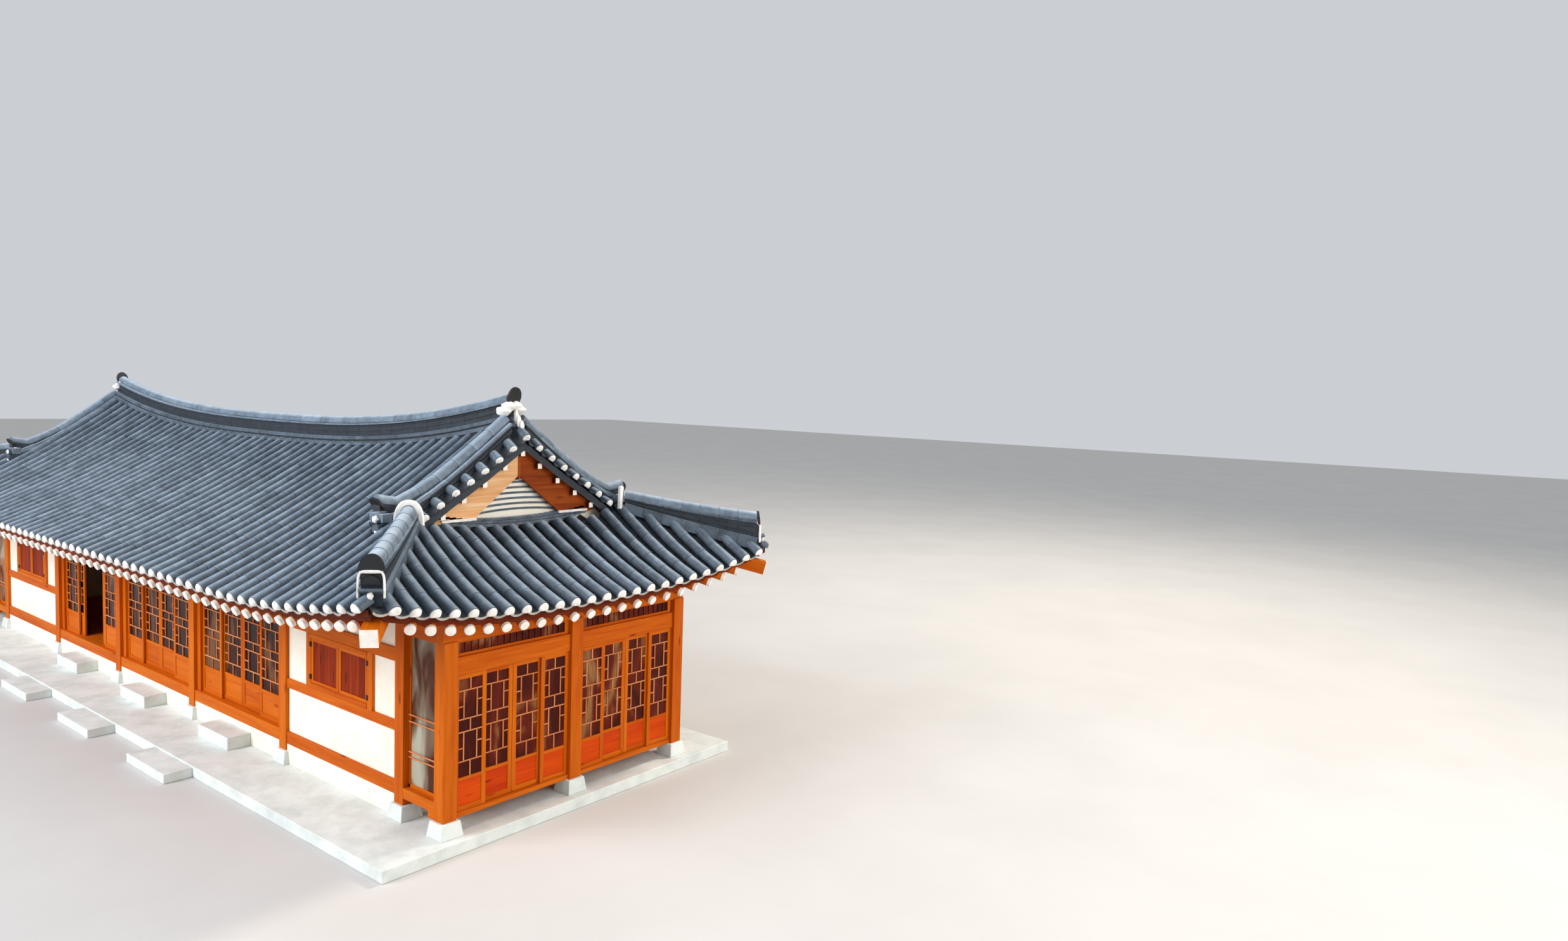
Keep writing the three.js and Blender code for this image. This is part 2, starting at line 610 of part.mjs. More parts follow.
// Rail, lintel and window lining are planted on the plaster's face.
function plantedY(side) {
  const face = side * (HALF_DEPTH + BEAM / 2);
  const back = side * (HALF_DEPTH + PLASTER / 2 + GAP);
  return [Math.min(face, back), Math.max(face, back)];
}

function plantedTimber(x, hasWindow) {
  const wide = span(x, BAY - POST + 10);
  const pieces = [block(wide, plantedY(-1), RAIL_Z), block(wide, plantedY(-1), LINTEL_Z)];
  if (hasWindow) {
    const lining = block(span(x, WINDOW_WIDTH), plantedY(-1), [RAIL_Z[1] - 5, LINTEL_Z[0] + 5]);
    const light = block(span(x, SHUTTER_PAIR), [-3 * HALF_DEPTH, 0], [SHUTTER_BOTTOM, SHUTTER_TOP]);
    pieces.push(cut(lining, [light]));
  }
  return pieces;
}

function longFrame(plastered) {
  const pieces = postLines.map((x) => block(span(x, POST), span(-HALF_DEPTH, POST), [FOOT_Z, POST_TOP]));
  pieces.push(block([-BODY_X, BODY_X], span(-HALF_DEPTH, BEAM), SILL_Z), eaveBeam());
  for (const bay of plastered) {
    pieces.push(...plantedTimber(bayCentres[bay], WINDOW_BAYS.includes(bay)));
  }
  return fuse(pieces);
}

add('front_frame', longFrame(WINDOW_BAYS), 'pine');
add('back_frame', turned(longFrame([0, 1, 2, 3, 4])), 'pine');

// Plastered bays
function plasterBay(x, hasWindow) {
  const sheet = block(
    span(x, BAY - POST - 2 * GAP),
    span(-HALF_DEPTH, PLASTER),
    [SILL_Z[1] + GAP, POST_TOP - 20 - GAP],
  );
  const light = block(span(x, SHUTTER_PAIR), [-3 * HALF_DEPTH, 0], [SHUTTER_BOTTOM, SHUTTER_TOP]);
  return hasWindow ? cut(sheet, [light]) : sheet;
}

const shutterY = [-HALF_DEPTH - PLASTER / 2 - 25, -HALF_DEPTH - PLASTER / 2 - 25 + SHUTTER];
function shutterPair(x) {
  return block(span(x, SHUTTER_PAIR - 2 * GAP), shutterY, [SHUTTER_BOTTOM + GAP, SHUTTER_TOP - GAP]);
}

for (const bay of WINDOW_BAYS) {
  const side = bay === 0 ? 'left' : 'right';
  add(`front_${side}_wall`, plasterBay(bayCentres[bay], true), 'plaster');
  add(`front_${side}_shutters`, shutterPair(bayCentres[bay]), 'shutterWood');
  const backSide = bay === 0 ? 'right' : 'left';
  add(`back_${backSide}_shutters`, turned(shutterPair(bayCentres[bay])), 'shutterWood');
}
bayCentres.forEach((x, bay) => {
  add(`back_wall_${BAYS - bay}`, turned(plasterBay(x, WINDOW_BAYS.includes(bay))), 'plaster');
});

// A board LEAF thick with its openings closed by a thin web. Openings are [across, height] pairs.
function panelled(x, middle, z, openings) {
  const [front, back] = span(middle, LEAF);
  return cut(block(x, [front, back], z), openings.flatMap(([wide, high]) => [
    block(wide, [front - 5, middle - WEB / 2], high),
    block(wide, [middle + WEB / 2, back + 5], high),
  ]));
}

// Sliding doors, drawn with their length along X and their outer face towards -Y, centred on the bay.
// The outer leaves of a bay are fixed in its frame, the inner pair slides behind them.
function leaf(x, track, z) {
  const wide = [x[0] + STILE, x[1] - STILE];
  const panelTop = z[0] + STILE + PANEL_HEIGHT;
  return panelled(x, track, z, [
    [wide, [z[0] + STILE, panelTop]],
    [wide, [panelTop + MID_RAIL, z[1] - STILE]],
  ]);
}

function leafSpans(clear) {
  const width = (clear / 2 + LEAF_OVERLAP - LEAF_MEETING) / 2;
  return {
    outer: [-clear / 2, -clear / 2 + width],
    inner: [-LEAF_MEETING - width, -LEAF_MEETING],
  };
}

const flip = ([a, b]) => [-b, -a];

function doorSet({ bay, jamb, tracks, leafZ, headZ, topZ, sillZ, frameDepth, fixed }) {
  const half = bay / 2 - GAP;
  const clear = bay - 2 * jamb;
  const { outer, inner } = leafSpans(clear);
  const middle = (tracks[0] + tracks[1]) / 2;
  const depth = span(middle, frameDepth);
  const transomPane = [[-half + STILE, half - STILE], [headZ[1] + MID_RAIL, topZ - MID_RAIL]];
  const pieces = [
    block([-half, half], depth, headZ),
    panelled([-half, half], middle, [headZ[1] - 5, topZ], [transomPane]),
  ];
  if (sillZ) {
    pieces.push(block([-half, half], depth, sillZ));
  }
  const foot = leafZ[0] - DOOR_RUN;
  if (jamb > 0) {
    pieces.push(block([-half, -clear / 2], depth, [foot + GAP, headZ[0] + 5]));
    pieces.push(block([clear / 2, half], depth, [foot + GAP, headZ[0] + 5]));
  }
  const lip = jamb > 0 ? 5 : -GAP;
  const outerLeaf = [outer[0] - lip, outer[1]];
  const fixedZ = [sillZ ? foot - 5 : foot + GAP, headZ[0] + 5];
  pieces.push(leaf(outerLeaf, tracks[0], fixedZ), leaf(flip(outerLeaf), tracks[0], fixedZ));
  if (fixed) {
    pieces.push(leaf(inner, tracks[1], fixedZ), leaf(flip(inner), tracks[1], fixedZ));
  }
  const runnerX = [inner[0] + STILE, inner[1] - STILE];
  const runner = block(runnerX, span(tracks[1], RUNNER), [foot + 0.4, leafZ[0] + 5]);
  const slidingLeaf = fuse([leaf(inner, tracks[1], leafZ), runner]);
  return { frame: fuse(pieces), left: slidingLeaf, right: mirrored(slidingLeaf) };
}

const frontDoor = doorSet({
  bay: BAY - POST,
  jamb: JAMB,
  tracks: [TRACK_Y, TRACK_Y + TRACK_PITCH],
  leafZ: [SILL_Z[1] + DOOR_RUN, LINTEL_Z[0] - DOOR_RUN],
  headZ: LINTEL_Z,
  topZ: POST_TOP - 20 - GAP,
  frameDepth: BEAM - 20,
});
bayCentres.slice(1, 4).forEach((x, i) => {
  const name = `front_door_${i + 1}`;
  const open = x < -1 ? OPEN_BAY_OFFSET : 0;
  add(`${name}_frame`, frontDoor.frame.clone().translate(x, 0, 0), 'pine');
  add(`${name}_left`, frontDoor.left.clone().translate(x - open, 0, 0), 'pine');
  add(`${name}_right`, frontDoor.right.clone().translate(x + open, 0, 0), 'pine');
});

const verandaDoor = (fixed) => doorSet({
  bay: HALF_DEPTH - POST,
  jamb: 0,
  tracks: [-END_X - TRACK_PITCH / 2, -END_X + TRACK_PITCH / 2],
  leafZ: [VERANDA_DOOR_Z[0], VERANDA_DOOR_Z[1] - DOOR_RUN],
  headZ: VERANDA_LINTEL_Z,
  topZ: VERANDA_BEAM_Z - GAP,
  sillZ: [FOOT_Z, VERANDA_DOOR_Z[0] - DOOR_RUN],
  frameDepth: 120,
  fixed,
});
const toRight = (geometry) => geometry.clone().rotateZ(Math.PI / 2);
const toLeft = (geometry) => geometry.clone().rotateZ(-Math.PI / 2);
const slidingVeranda = verandaDoor(false);
const fixedVeranda = verandaDoor(true);
[-1, 1].forEach((side, i) => {
  const shift = (side * HALF_DEPTH) / 2;
  const name = `right_veranda_door_${i + 1}`;
  add(`${name}_frame`, toRight(slidingVeranda.frame).translate(0, shift, 0), 'pine');
  add(`${name}_left`, toRight(slidingVeranda.left).translate(0, shift, 0), 'pine');
  add(`${name}_right`, toRight(slidingVeranda.right).translate(0, shift, 0), 'pine');
  add(`left_veranda_doors_${i + 1}`, toLeft(fixedVeranda.frame).translate(0, shift, 0), 'pine');
});

// End frames: three veranda posts, a beam over them that returns to the body, the inner middle post
// with its sill and beam, a tie between the two middle posts, and a fixed light in each return.
function sideBeam(x, reach, low, under) {
  const half = VERANDA_BEAM / 2;
  const section = [[-half, 0], [half, 0], [half, 1], [-half, 1]];
  const edges = [0, 0.25, 0.5, 0.625, 0.75, 0.875, 1].map((n) => n * reach);
  return bent(section, bothSides(edges), (across, top, y) => [
    x - across,
    y,
    top > 0.5 ? skirtHeight(x - across, y) - under : low,
  ]);
}

function endFrame() {
  const innerReach = HALF_DEPTH - HALF_POST - GAP;
  const pieces = [
    sideBeam(END_X, HALF_DEPTH, VERANDA_BEAM_Z, VERANDA_LOG_UNDER),
    sideBeam(BODY_X, innerReach, POST_TOP - 20, INNER_LOG_UNDER),
    block(span(BODY_X, POST), span(0, POST), [FOOT_Z, POST_TOP]),
    block(span(BODY_X, BEAM), [-innerReach, innerReach], SILL_Z),
    block([BODY_X, END_X], span(0, VERANDA_BEAM), [VERANDA_BEAM_Z, VERANDA_BEAM_Z + VERANDA_BEAM]),
  ];
  for (const y of [-HALF_DEPTH, 0, HALF_DEPTH]) {
    pieces.push(block(span(END_X, POST), span(y, POST), [FOOT_Z, VERANDA_BEAM_Z + 10]));
  }
  for (const y of [-HALF_DEPTH, HALF_DEPTH]) {
    const x = [BODY_X + HALF_POST + GAP, END_X];
    const pane = [
      [x[0] + MID_RAIL, END_X - HALF_POST - MID_RAIL],
      [VERANDA_FLOOR_Z[1] + STILE, VERANDA_BEAM_Z - STILE],
    ];
    pieces.push(block(x, span(y, VERANDA_BEAM), [VERANDA_BEAM_Z, VERANDA_BEAM_Z + VERANDA_BEAM]));
    pieces.push(panelled(x, y, [VERANDA_FLOOR_Z[1] + GAP, VERANDA_BEAM_Z + 5], [pane]));
  }
  return fuse(pieces);
}

const rightEnd = endFrame();
add('right_end_frame', rightEnd, 'pine');
add('left_end_frame', turned(rightEnd), 'pine');

const innerWallX = BODY_X - HALF_POST - GAP;
const innerWallY = HALF_DEPTH - PLASTER / 2 - GAP;
const innerWall = block(
  [innerWallX - PLASTER, innerWallX],
  [-innerWallY, innerWallY],
  [SILL_Z[1] + GAP, POST_TOP - 20 - GAP],
);
add('right_inner_wall', innerWall, 'plaster');
add('left_inner_wall', turned(innerWall), 'plaster');

export default house;
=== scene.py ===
"""The looks of a tile-roofed timber house (hanok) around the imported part.

Metres, +Z up, +X towards the right gable end, the front faces -Y. Heights are above the ground. The roof's
form repeats the one of the part, so that every tile lies where the part's slopes are.
"""

import logging
import math
from dataclasses import KW_ONLY, dataclass, field
from enum import Enum
from typing import Any, Callable, Optional, Sequence

import bmesh
import bpy
import numpy as np
from mathutils import Matrix, Vector

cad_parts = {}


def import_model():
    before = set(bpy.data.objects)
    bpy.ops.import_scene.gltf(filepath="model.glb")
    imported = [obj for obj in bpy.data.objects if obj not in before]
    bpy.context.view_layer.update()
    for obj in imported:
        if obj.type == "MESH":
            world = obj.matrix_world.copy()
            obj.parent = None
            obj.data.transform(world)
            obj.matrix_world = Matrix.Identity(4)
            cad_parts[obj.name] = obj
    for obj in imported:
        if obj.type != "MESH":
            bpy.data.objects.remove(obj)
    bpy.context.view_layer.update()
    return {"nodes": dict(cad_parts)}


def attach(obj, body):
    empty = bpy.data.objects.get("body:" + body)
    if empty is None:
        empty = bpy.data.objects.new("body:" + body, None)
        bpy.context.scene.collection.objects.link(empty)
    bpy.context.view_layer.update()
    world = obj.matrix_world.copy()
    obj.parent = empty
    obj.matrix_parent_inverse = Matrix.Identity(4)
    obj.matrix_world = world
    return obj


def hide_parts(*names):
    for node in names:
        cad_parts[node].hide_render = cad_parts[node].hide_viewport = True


Span = tuple[float, float]
Box = tuple[Span, Span, Span]
Material = bpy.types.Material
Tree = bpy.types.NodeTree
Socket = bpy.types.NodeSocket
# Gives a point for a share up a slope, a height over it and a share across from -1 to 1
SlopePoint = Callable[[float, float, float], Vector]
# Points on the roof with how much higher a ridge is there
RidgeLine = Sequence[tuple[Vector, float]]

LOG = logging.getLogger("hanok")
RNG = np.random.default_rng(11)

# The plan and the heights that the part's source gives
HALF_DEPTH = 2.04
BAY = 3.03
BODY_X = 7.575
END_X = 8.455
POST = 0.2
BEAM = 0.17
FOOT_Z = 0.36
PLATFORM_Z = 0.16
SILL_Z = (0.46, 0.64)
RAIL_Z = (1.305, 1.44)
LINTEL_Z = (2.22, 2.4)
HEAD_Z = 2.98
END_BEAM_Z = FOOT_Z + 2.27
WINDOW_HALF = 0.73
WINDOW_Z = (1.51, 2.16)
POST_LINES = [-BODY_X + i * BAY for i in range(6)]
BAY_CENTRES = [-BODY_X + (i + 0.5) * BAY for i in range(5)]
GAP = 0.0003

# Corners of a square section, closed: to either side, and at its bottom or top
SECTION = ((-1, 0), (1, 0), (1, 1), (-1, 1), (-1, 0))
UP = Vector((0, 0, 1))
ALONG_FRONT = Vector((1, 0, 0))
ALONG_END = Vector((0, 1, 0))
MIRROR = Matrix.Diagonal((-1, 1, 1, 1))

# How a side of the house is turned: 1 for the front and the right end, -1 for the back and the left end
TURNS = {1: Matrix.Identity(4), -1: Matrix.Rotation(math.pi, 4, "Z")}
IN_PLACE = [TURNS[1]]
LONG_SIDES = (("front", 1), ("back", -1))
ENDS = (("right", 1), ("left", -1))


def around(middle: float, half: float) -> Span:
    """Gives the range that reaches equally far to both sides of a middle."""
    return middle - half, middle + half


def ordered(a: float, b: float) -> Span:
    """Gives the range between two values in rising order."""
    return min(a, b), max(a, b)


def linear(colour: str) -> tuple[float, float, float, float]:
    """Turns an sRGB hex value into linear colour with an alpha of 1."""
    parts = [int(colour[i:i + 2], 16) / 255 for i in (1, 3, 5)]
    return tuple(c / 12.92 if c <= 0.04045 else ((c + 0.055) / 1.055) ** 2.4 for c in parts) + (1.0,)


def per_metre(*sizes: float) -> tuple[float, ...]:
    """Turns the sizes of a pattern in millimetres into its scales."""
    return tuple(1000 / size for size in sizes)


def add_node(
    tree: Tree,
    kind: str,
    inputs: Optional[dict] = None,
    stops: Sequence[tuple[float, str]] = (),
    **settings: object,
) -> bpy.types.Node:
    """Adds a node with its settings and links.

    Args:
        tree: The material's node tree.
        kind: The node's type without its ShaderNode prefix.
        inputs: Socket name or index to a value, or to the output socket that feeds it.
        stops: Positions and hex colours of a colour ramp, at least two.
        settings: Properties of the node itself.

    Returns:
        The new node.
    """
    made = tree.nodes.new("ShaderNode" + kind)
    for key, value in settings.items():
        setattr(made, key, value)
    for key, value in (inputs or {}).items():
        if isinstance(value, Socket):
            tree.links.new(value, made.inputs[key])
        else:
            made.inputs[key].default_value = value
    for index, (position, colour) in enumerate(stops):
        elements = made.color_ramp.elements
        element = elements[index] if index < 2 else elements.new(position)
        element.position = position
        element.color = linear(colour)
    return made


@dataclass(frozen=True)
class Finish:
    """A procedural material: each kind gives its pattern, and this wires it to the shader."""

    name: str
    _: KW_ONLY
    roughness: float = 0.5
    sheen: float = 0.5
    metallic: float = 0.0
    bump: float = 0.0
    relief: float = 0.002

    def pattern(self, tree: Tree) -> tuple[Socket, Socket]:
        """Gives the outputs for the colour and for the height of the relief."""
        raise NotImplementedError

    def build(self) -> Material:
        """Makes the material.

        Returns:
            The material, with its pattern on the shader's colour and relief.
        """
        material = bpy.data.materials.new(self.name)
        material.use_nodes = True
        tree = material.node_tree
        shader = tree.nodes["Principled BSDF"]
        shader.inputs["Roughness"].default_value = self.roughness
        shader.inputs["Specular IOR Level"].default_value = self.sheen
        shader.inputs["Metallic"].default_value = self.metallic
        colour, height = self.pattern(tree)
        tree.links.new(colour, shader.inputs["Base Color"])
        if self.bump:
            values = {"Strength": self.bump, "Distance": self.relief, "Height": height}
            tree.links.new(add_node(tree, "Bump", values).outputs[0], shader.inputs["Normal"])
        return material


class GrainRun(Enum):
    """Where a timber's grain direction comes from."""

    BOARDS = "boards"
    ALONG_X = "x"
    ALONG_Y = "y"


@dataclass(frozen=True)
class VarnishedTimber(Finish):
    """Softwood planed smooth and varnished: warm streaks along the grain, dark knots, a soft gloss."""

    pale: str
    middle: str
    dark: str
    _: KW_ONLY
    sheen: float = 0.08
    bump: float = 0.25
    run: GrainRun = GrainRun.BOARDS
    # Sizes in millimetres along the grain and across it
    streak: tuple[float, float, float] = (625, 18.18, 18.18)
    band: tuple[float, float, float] = (2000, 125, 125)
    knot: tuple[float, float, float] = (909.1, 200, 200)

    def pattern(self, tree: Tree) -> tuple[Socket, Socket]:
        """Draws streaks, broad bands and knots.

        Args:
            tree: The material's node tree.

        Returns:
            The colour and the height, which follow each board's own grain attribute or a fixed axis.
        """
        if self.run is GrainRun.BOARDS:
            place = add_node(tree, "Attribute", attribute_name="grain").outputs["Vector"]
        else:
            place = add_node(tree, "TexCoord").outputs["Object"]
        if self.run is GrainRun.ALONG_Y:
            place = add_node(tree, "Mapping", {0: place, "Rotation": (0, 0, math.pi / 2)}).outputs[0]
        streak_place = add_node(tree, "Mapping", {0: place, "Scale": per_metre(*self.streak)}).outputs[0]
        streaks = add_node(tree, "TexNoise", {0: streak_place, "Scale": 1.0, "Detail": 5.0, "Roughness": 0.6})
        band_place = add_node(tree, "Mapping", {0: place, "Scale": per_metre(*self.band)}).outputs[0]
        bands = add_node(tree, "TexNoise", {0: band_place, "Scale": 1.0, "Detail": 3.0, "Distortion": 0.6})
        knot_place = add_node(tree, "Mapping", {0: place, "Scale": per_metre(*self.knot)}).outputs[0]
        knots = add_node(tree, "TexVoronoi", {0: knot_place, "Scale": 1.0, "Randomness": 1.0})
        knot = add_node(tree, "MapRange", {0: knots.outputs["Distance"], 1: 0.04, 2: 0.12, 3: 0.4, 4: 0.0})
        tone = add_node(tree, "Attribute", attribute_name="tone").outputs["Fac"]
        shade = add_node(tree, "Math", {0: streaks.outputs[0], 1: 0.55}, operation="MULTIPLY").outputs[0]
        for part, weight in ((bands.outputs[0], 0.45), (knot.outputs[0], -1.0), (tone, 0.16)):
            values = {0: part, 1: weight, 2: shade}
            shade = add_node(tree, "Math", values, operation="MULTIPLY_ADD").outputs[0]
        stops = [(0.2, self.dark), (0.47, self.middle), (0.75, self.pale)]
        return add_node(tree, "ValToRGB", {0: shade}, stops).outputs[0], shade


@dataclass(frozen=True)
class FiredClay(Finish):
    """Reduction-fired clay tile: blue-grey, paler where it faces the sky with dust and a painted sky
    highlight, each tile its own tone.
    """

    dark: str
    middle: str
    pale: str
    _: KW_ONLY
    roughness: float = 0.55
    bump: float = 0.3
    # How much paler what faces the sky is drawn: dust and a painted sky highlight
    dust_and_sky_light: float = 0.3
    # Sizes of the weather stains and of the grit in millimetres
    stain: float = 142.86
    grit: float = 8.3333

    def pattern(self, tree: Tree) -> tuple[Socket, Socket]:
        """Draws stains and grit, and a paleness on what faces the sky: dust and a painted sky highlight.

        Args:
            tree: The material's node tree.

        Returns:
            The colour, which reads each tile's tone, and the height.
        """
        place = add_node(tree, "TexCoord").outputs["Object"]
        tone = add_node(tree, "Attribute", attribute_name="tone").outputs["Fac"]
        stain_scale, grit_scale = per_metre(self.stain, self.grit)
        values = {0: place, "Scale": stain_scale, "Detail": 4.0, "Roughness": 0.65}
        stains = add_node(tree, "TexNoise", values)
        grit = add_node(tree, "TexNoise", {0: place, "Scale": grit_scale, "Detail": 2.0}).outputs[0]
        # Upward faces are drawn paler: dust and a painted highlight of the sky
        normal = add_node(tree, "NewGeometry").outputs["Normal"]
        up = add_node(tree, "SeparateXYZ", {0: normal}).outputs[2]
        shade = add_node(tree, "MapRange", {0: up, 1: 0.55, 2: 1.0, 3: 0.0, 4: self.dust_and_sky_light}).outputs[0]
        for part, weight in ((stains.outputs[0], 0.4), (tone, 0.1), (grit, 0.16)):
            values = {0: part, 1: weight, 2: shade}
            shade = add_node(tree, "Math", values, operation="MULTIPLY_ADD").outputs[0]
        stops = [(0.2, self.dark), (0.45, self.middle), (0.75, self.pale)]
        return add_node(tree, "ValToRGB", {0: shade}, stops).outputs[0], grit


@dataclass(frozen=True)
class Mineral(Finish):
    """A trowelled or dressed mineral surface, such as lime plaster, mortar or granite: matt, faintly stained.

    The sizes of its stains and its grit are in millimetres.
    """

    base: str
    shade: str
    stain: float
    grit: float
    _: KW_ONLY
    roughness: float = 0.85
    bump: float = 0.35
    grit_share: float = 0.15

    def pattern(self, tree: Tree) -> tuple[Socket, Socket]:
        """Draws stains and grit.

        Args:
            tree: The material's node tree.

        Returns:
            The colour and the height.
        """
        place = add_node(tree, "TexCoord").outputs["Object"]
        stain_scale, grit_scale = per_metre(self.stain, self.grit)
        stains = add_node(tree, "TexNoise", {0: place, "Scale": stain_scale, "Detail": 5.0, "Roughness": 0.6})
        grit = add_node(tree, "TexNoise", {0: place, "Scale": grit_scale, "Detail": 2.0}).outputs[0]
        values = {0: grit, 1: self.grit_share, 2: stains.outputs[0]}
        shade = add_node(tree, "Math", values, operation="MULTIPLY_ADD").outputs[0]
        stops = [(0.35, self.shade), (0.62 + self.grit_share / 2, self.base)]
        return add_node(tree, "ValToRGB", {0: shade}, stops).outputs[0], grit


@dataclass(frozen=True)
class WindowGlass(Finish):
    """Opaque window glass: dark brown, painted shade of the dim rooms behind it, with tan patches, painted
    reflections and what stands behind it.
    """

    dark: str
    middle: str
    pale: str
    _: KW_ONLY
    roughness: float = 0.15
    sheen: float = 0.1
    # Width and height of a patch in millimetres
    patch: tuple[float, float, float] = (454.5, 454.5, 1111)

    def pattern(self, tree: Tree) -> tuple[Socket, Socket]:
        """Draws upright patches.

        Args:
            tree: The material's node tree.

        Returns:
            The colour, and the patches again in place of a height.
        """
        place = add_node(tree, "TexCoord").outputs["Object"]
        tall = add_node(tree, "Mapping", {0: place, "Scale": per_metre(*self.patch)}).outputs[0]
        values = {0: tall, "Scale": 1.0, "Detail": 2.0, "Distortion": 0.8}
        patches = add_node(tree, "TexNoise", values).outputs[0]
        stops = [(0.42, self.dark), (0.56, self.middle), (0.68, self.pale)]
        return add_node(tree, "ValToRGB", {0: patches}, stops).outputs[0], patches


@dataclass(frozen=True)
class BlackIron(Finish):
    """Forged iron painted black: dull, with brown scale showing through."""

    _: KW_ONLY
    metallic: float = 0.6
    # Size of a fleck of scale in millimetres
    fleck: float = 11.11

    def pattern(self, tree: Tree) -> tuple[Socket, Socket]:
        """Draws the flecks.

        Args:
            tree: The material's node tree.

        Returns:
            The colour, and the flecks again in place of a height.
        """
        place = add_node(tree, "TexCoord").outputs["Object"]
        (scale,) = per_metre(self.fleck)
        flecks = add_node(tree, "TexNoise", {0: place, "Scale": scale, "Detail": 3.0}).outputs[0]
        stops = [(0.3, "#17130f"), (0.8, "#3a2f28")]
        return add_node(tree, "ValToRGB", {0: flecks}, stops).outputs[0], flecks


def built(finish: Finish) -> Any:
    """Declares a palette entry that is built with the palette."""
    return field(default_factory=finish.build)


ORANGE = ("#d06c10", "#b85006", "#822e02")


@dataclass
class Palette:
    """Every finish of the house, built once."""

    # Pine under orange varnish: bright, streaked along each timber
    pine: Material = built(VarnishedTimber("varnished_pine", *ORANGE))
    # The same on floor boards, with streaks that all run along the house
    floor_pine: Material = built(VarnishedTimber("varnished_pine_floor", *ORANGE, run=GrainRun.ALONG_X))
    # Door panels under a redder varnish than their frames
    panel: Material = built(VarnishedTimber("varnished_panel", "#d44c06", "#bd3603", "#842102"))
    # Pine drawn dark brown, painted shade under the tiles: the eave boards' edge below the tiles, the purlin
    # ends and the transom bars
    shade_dark_pine: Material = built(VarnishedTimber("pine_with_painted_eave_shade", "#742c0c", "#541c07", "#341005"))
    # Thin bars, paler than the frames around them: a painted highlight
    lattice: Material = built(VarnishedTimber("lattice_with_painted_highlight", "#e0996a", "#c56f3d", "#954720"))
    # Shutter planks: a deep red-brown
    shutter: Material = built(VarnishedTimber("varnished_planks", "#9c3408", "#7c2204", "#4e1402"))
    # The front bargeboard, drawn straw-pale as painted sunlight, with level grain across the gable
    sunlit_pine: Material = built(
        VarnishedTimber("pine_with_painted_sunlight", "#f0cfa6", "#dfa670", "#bd7b45", run=GrainRun.ALONG_Y)
    )
    # The back bargeboard and the pendant, drawn red-brown as painted shadow of the rake
    rake_shaded_pine: Material = built(
        VarnishedTimber("pine_with_painted_rake_shadow", "#a9521b", "#84360f", "#552007", run=GrainRun.ALONG_Y)
    )
    # Cover tiles: blue-grey, their crowns paler with dust and a painted sky highlight
    tile: Material = built(FiredClay("fired_clay_tile", "#2c353e", "#5d6b79", "#9aabbb"))
    # Tiles laid in a ridge's wall, and the deck under the tiles: nearly black edges, painted shade
    stack: Material = built(FiredClay("clay_tile_with_painted_shade", "#12181f", "#25303b", "#506070", dust_and_sky_light=0.2))
    # Moulded end plates: near-black, the dark tile with the painted shade of its hollow
    end_tile: Material = built(FiredClay("end_tile_with_painted_hollow_shade", "#08090a", "#121416", "#2c3034", dust_and_sky_light=0.08))
    # Ridge crowns and one course of each ridge wall: the palest tiles, a painted sky highlight where they
    # face the sky
    crown: Material = built(FiredClay("crown_tile_with_painted_sky_light", "#43505c", "#7b8b9b", "#b4c3d2", dust_and_sky_light=0.35))
    # Channel tiles: dark in the shade between the rows
    channel: Material = built(FiredClay("channel_clay_tile", "#14171a", "#2a3036", "#56606a", dust_and_sky_light=0.1))
    # Thrown mortar: white and uneven
    mortar: Material = built(Mineral("lime_mortar", "#f4f2ee", "#d9d5cd", 120, 6))
    # Trowelled walls: warm white, nearly even
    plaster: Material = built(Mineral("lime_plaster", "#f6f0e2", "#ece3cf", 500, 4, grit_share=0.1))
    # Dressed stone: pale grey with visible grit
    granite: Material = built(Mineral("dressed_granite", "#e2e8e4", "#c3cac5", 350, 6, grit_share=0.3))
    # Brushed paint on the rafter ends: white with a soft shine
    paint: Material = built(Mineral("white_oil_paint", "#faf5ee", "#ebe3d6", 80, 3, roughness=0.5))
    # The front edge of a channel tile: a grey line, a painted highlight
    highlit_lip: Material = built(Mineral("tile_lip_with_painted_highlight", "#b9b3aa", "#8f8b86", 200, 6))
    # Veranda doors: red-brown with tan patches
    glass: Material = built(WindowGlass("window_glass", "#3d0e05", "#611c0b", "#93693e"))
    # Side lights: brown glass with grey-tan patches, painted reflections and the veranda beyond
    side_glass: Material = built(WindowGlass("side_light_glass", "#4c2410", "#7b6a58", "#a9a592"))
    # Front doors: nearly black, painted shade of the dark rooms
    front_glass: Material = built(WindowGlass("front_window_glass", "#240a04", "#3c1408", "#6b4326"))
    # Hinges
    iron: Material = built(BlackIron("forged_iron"))


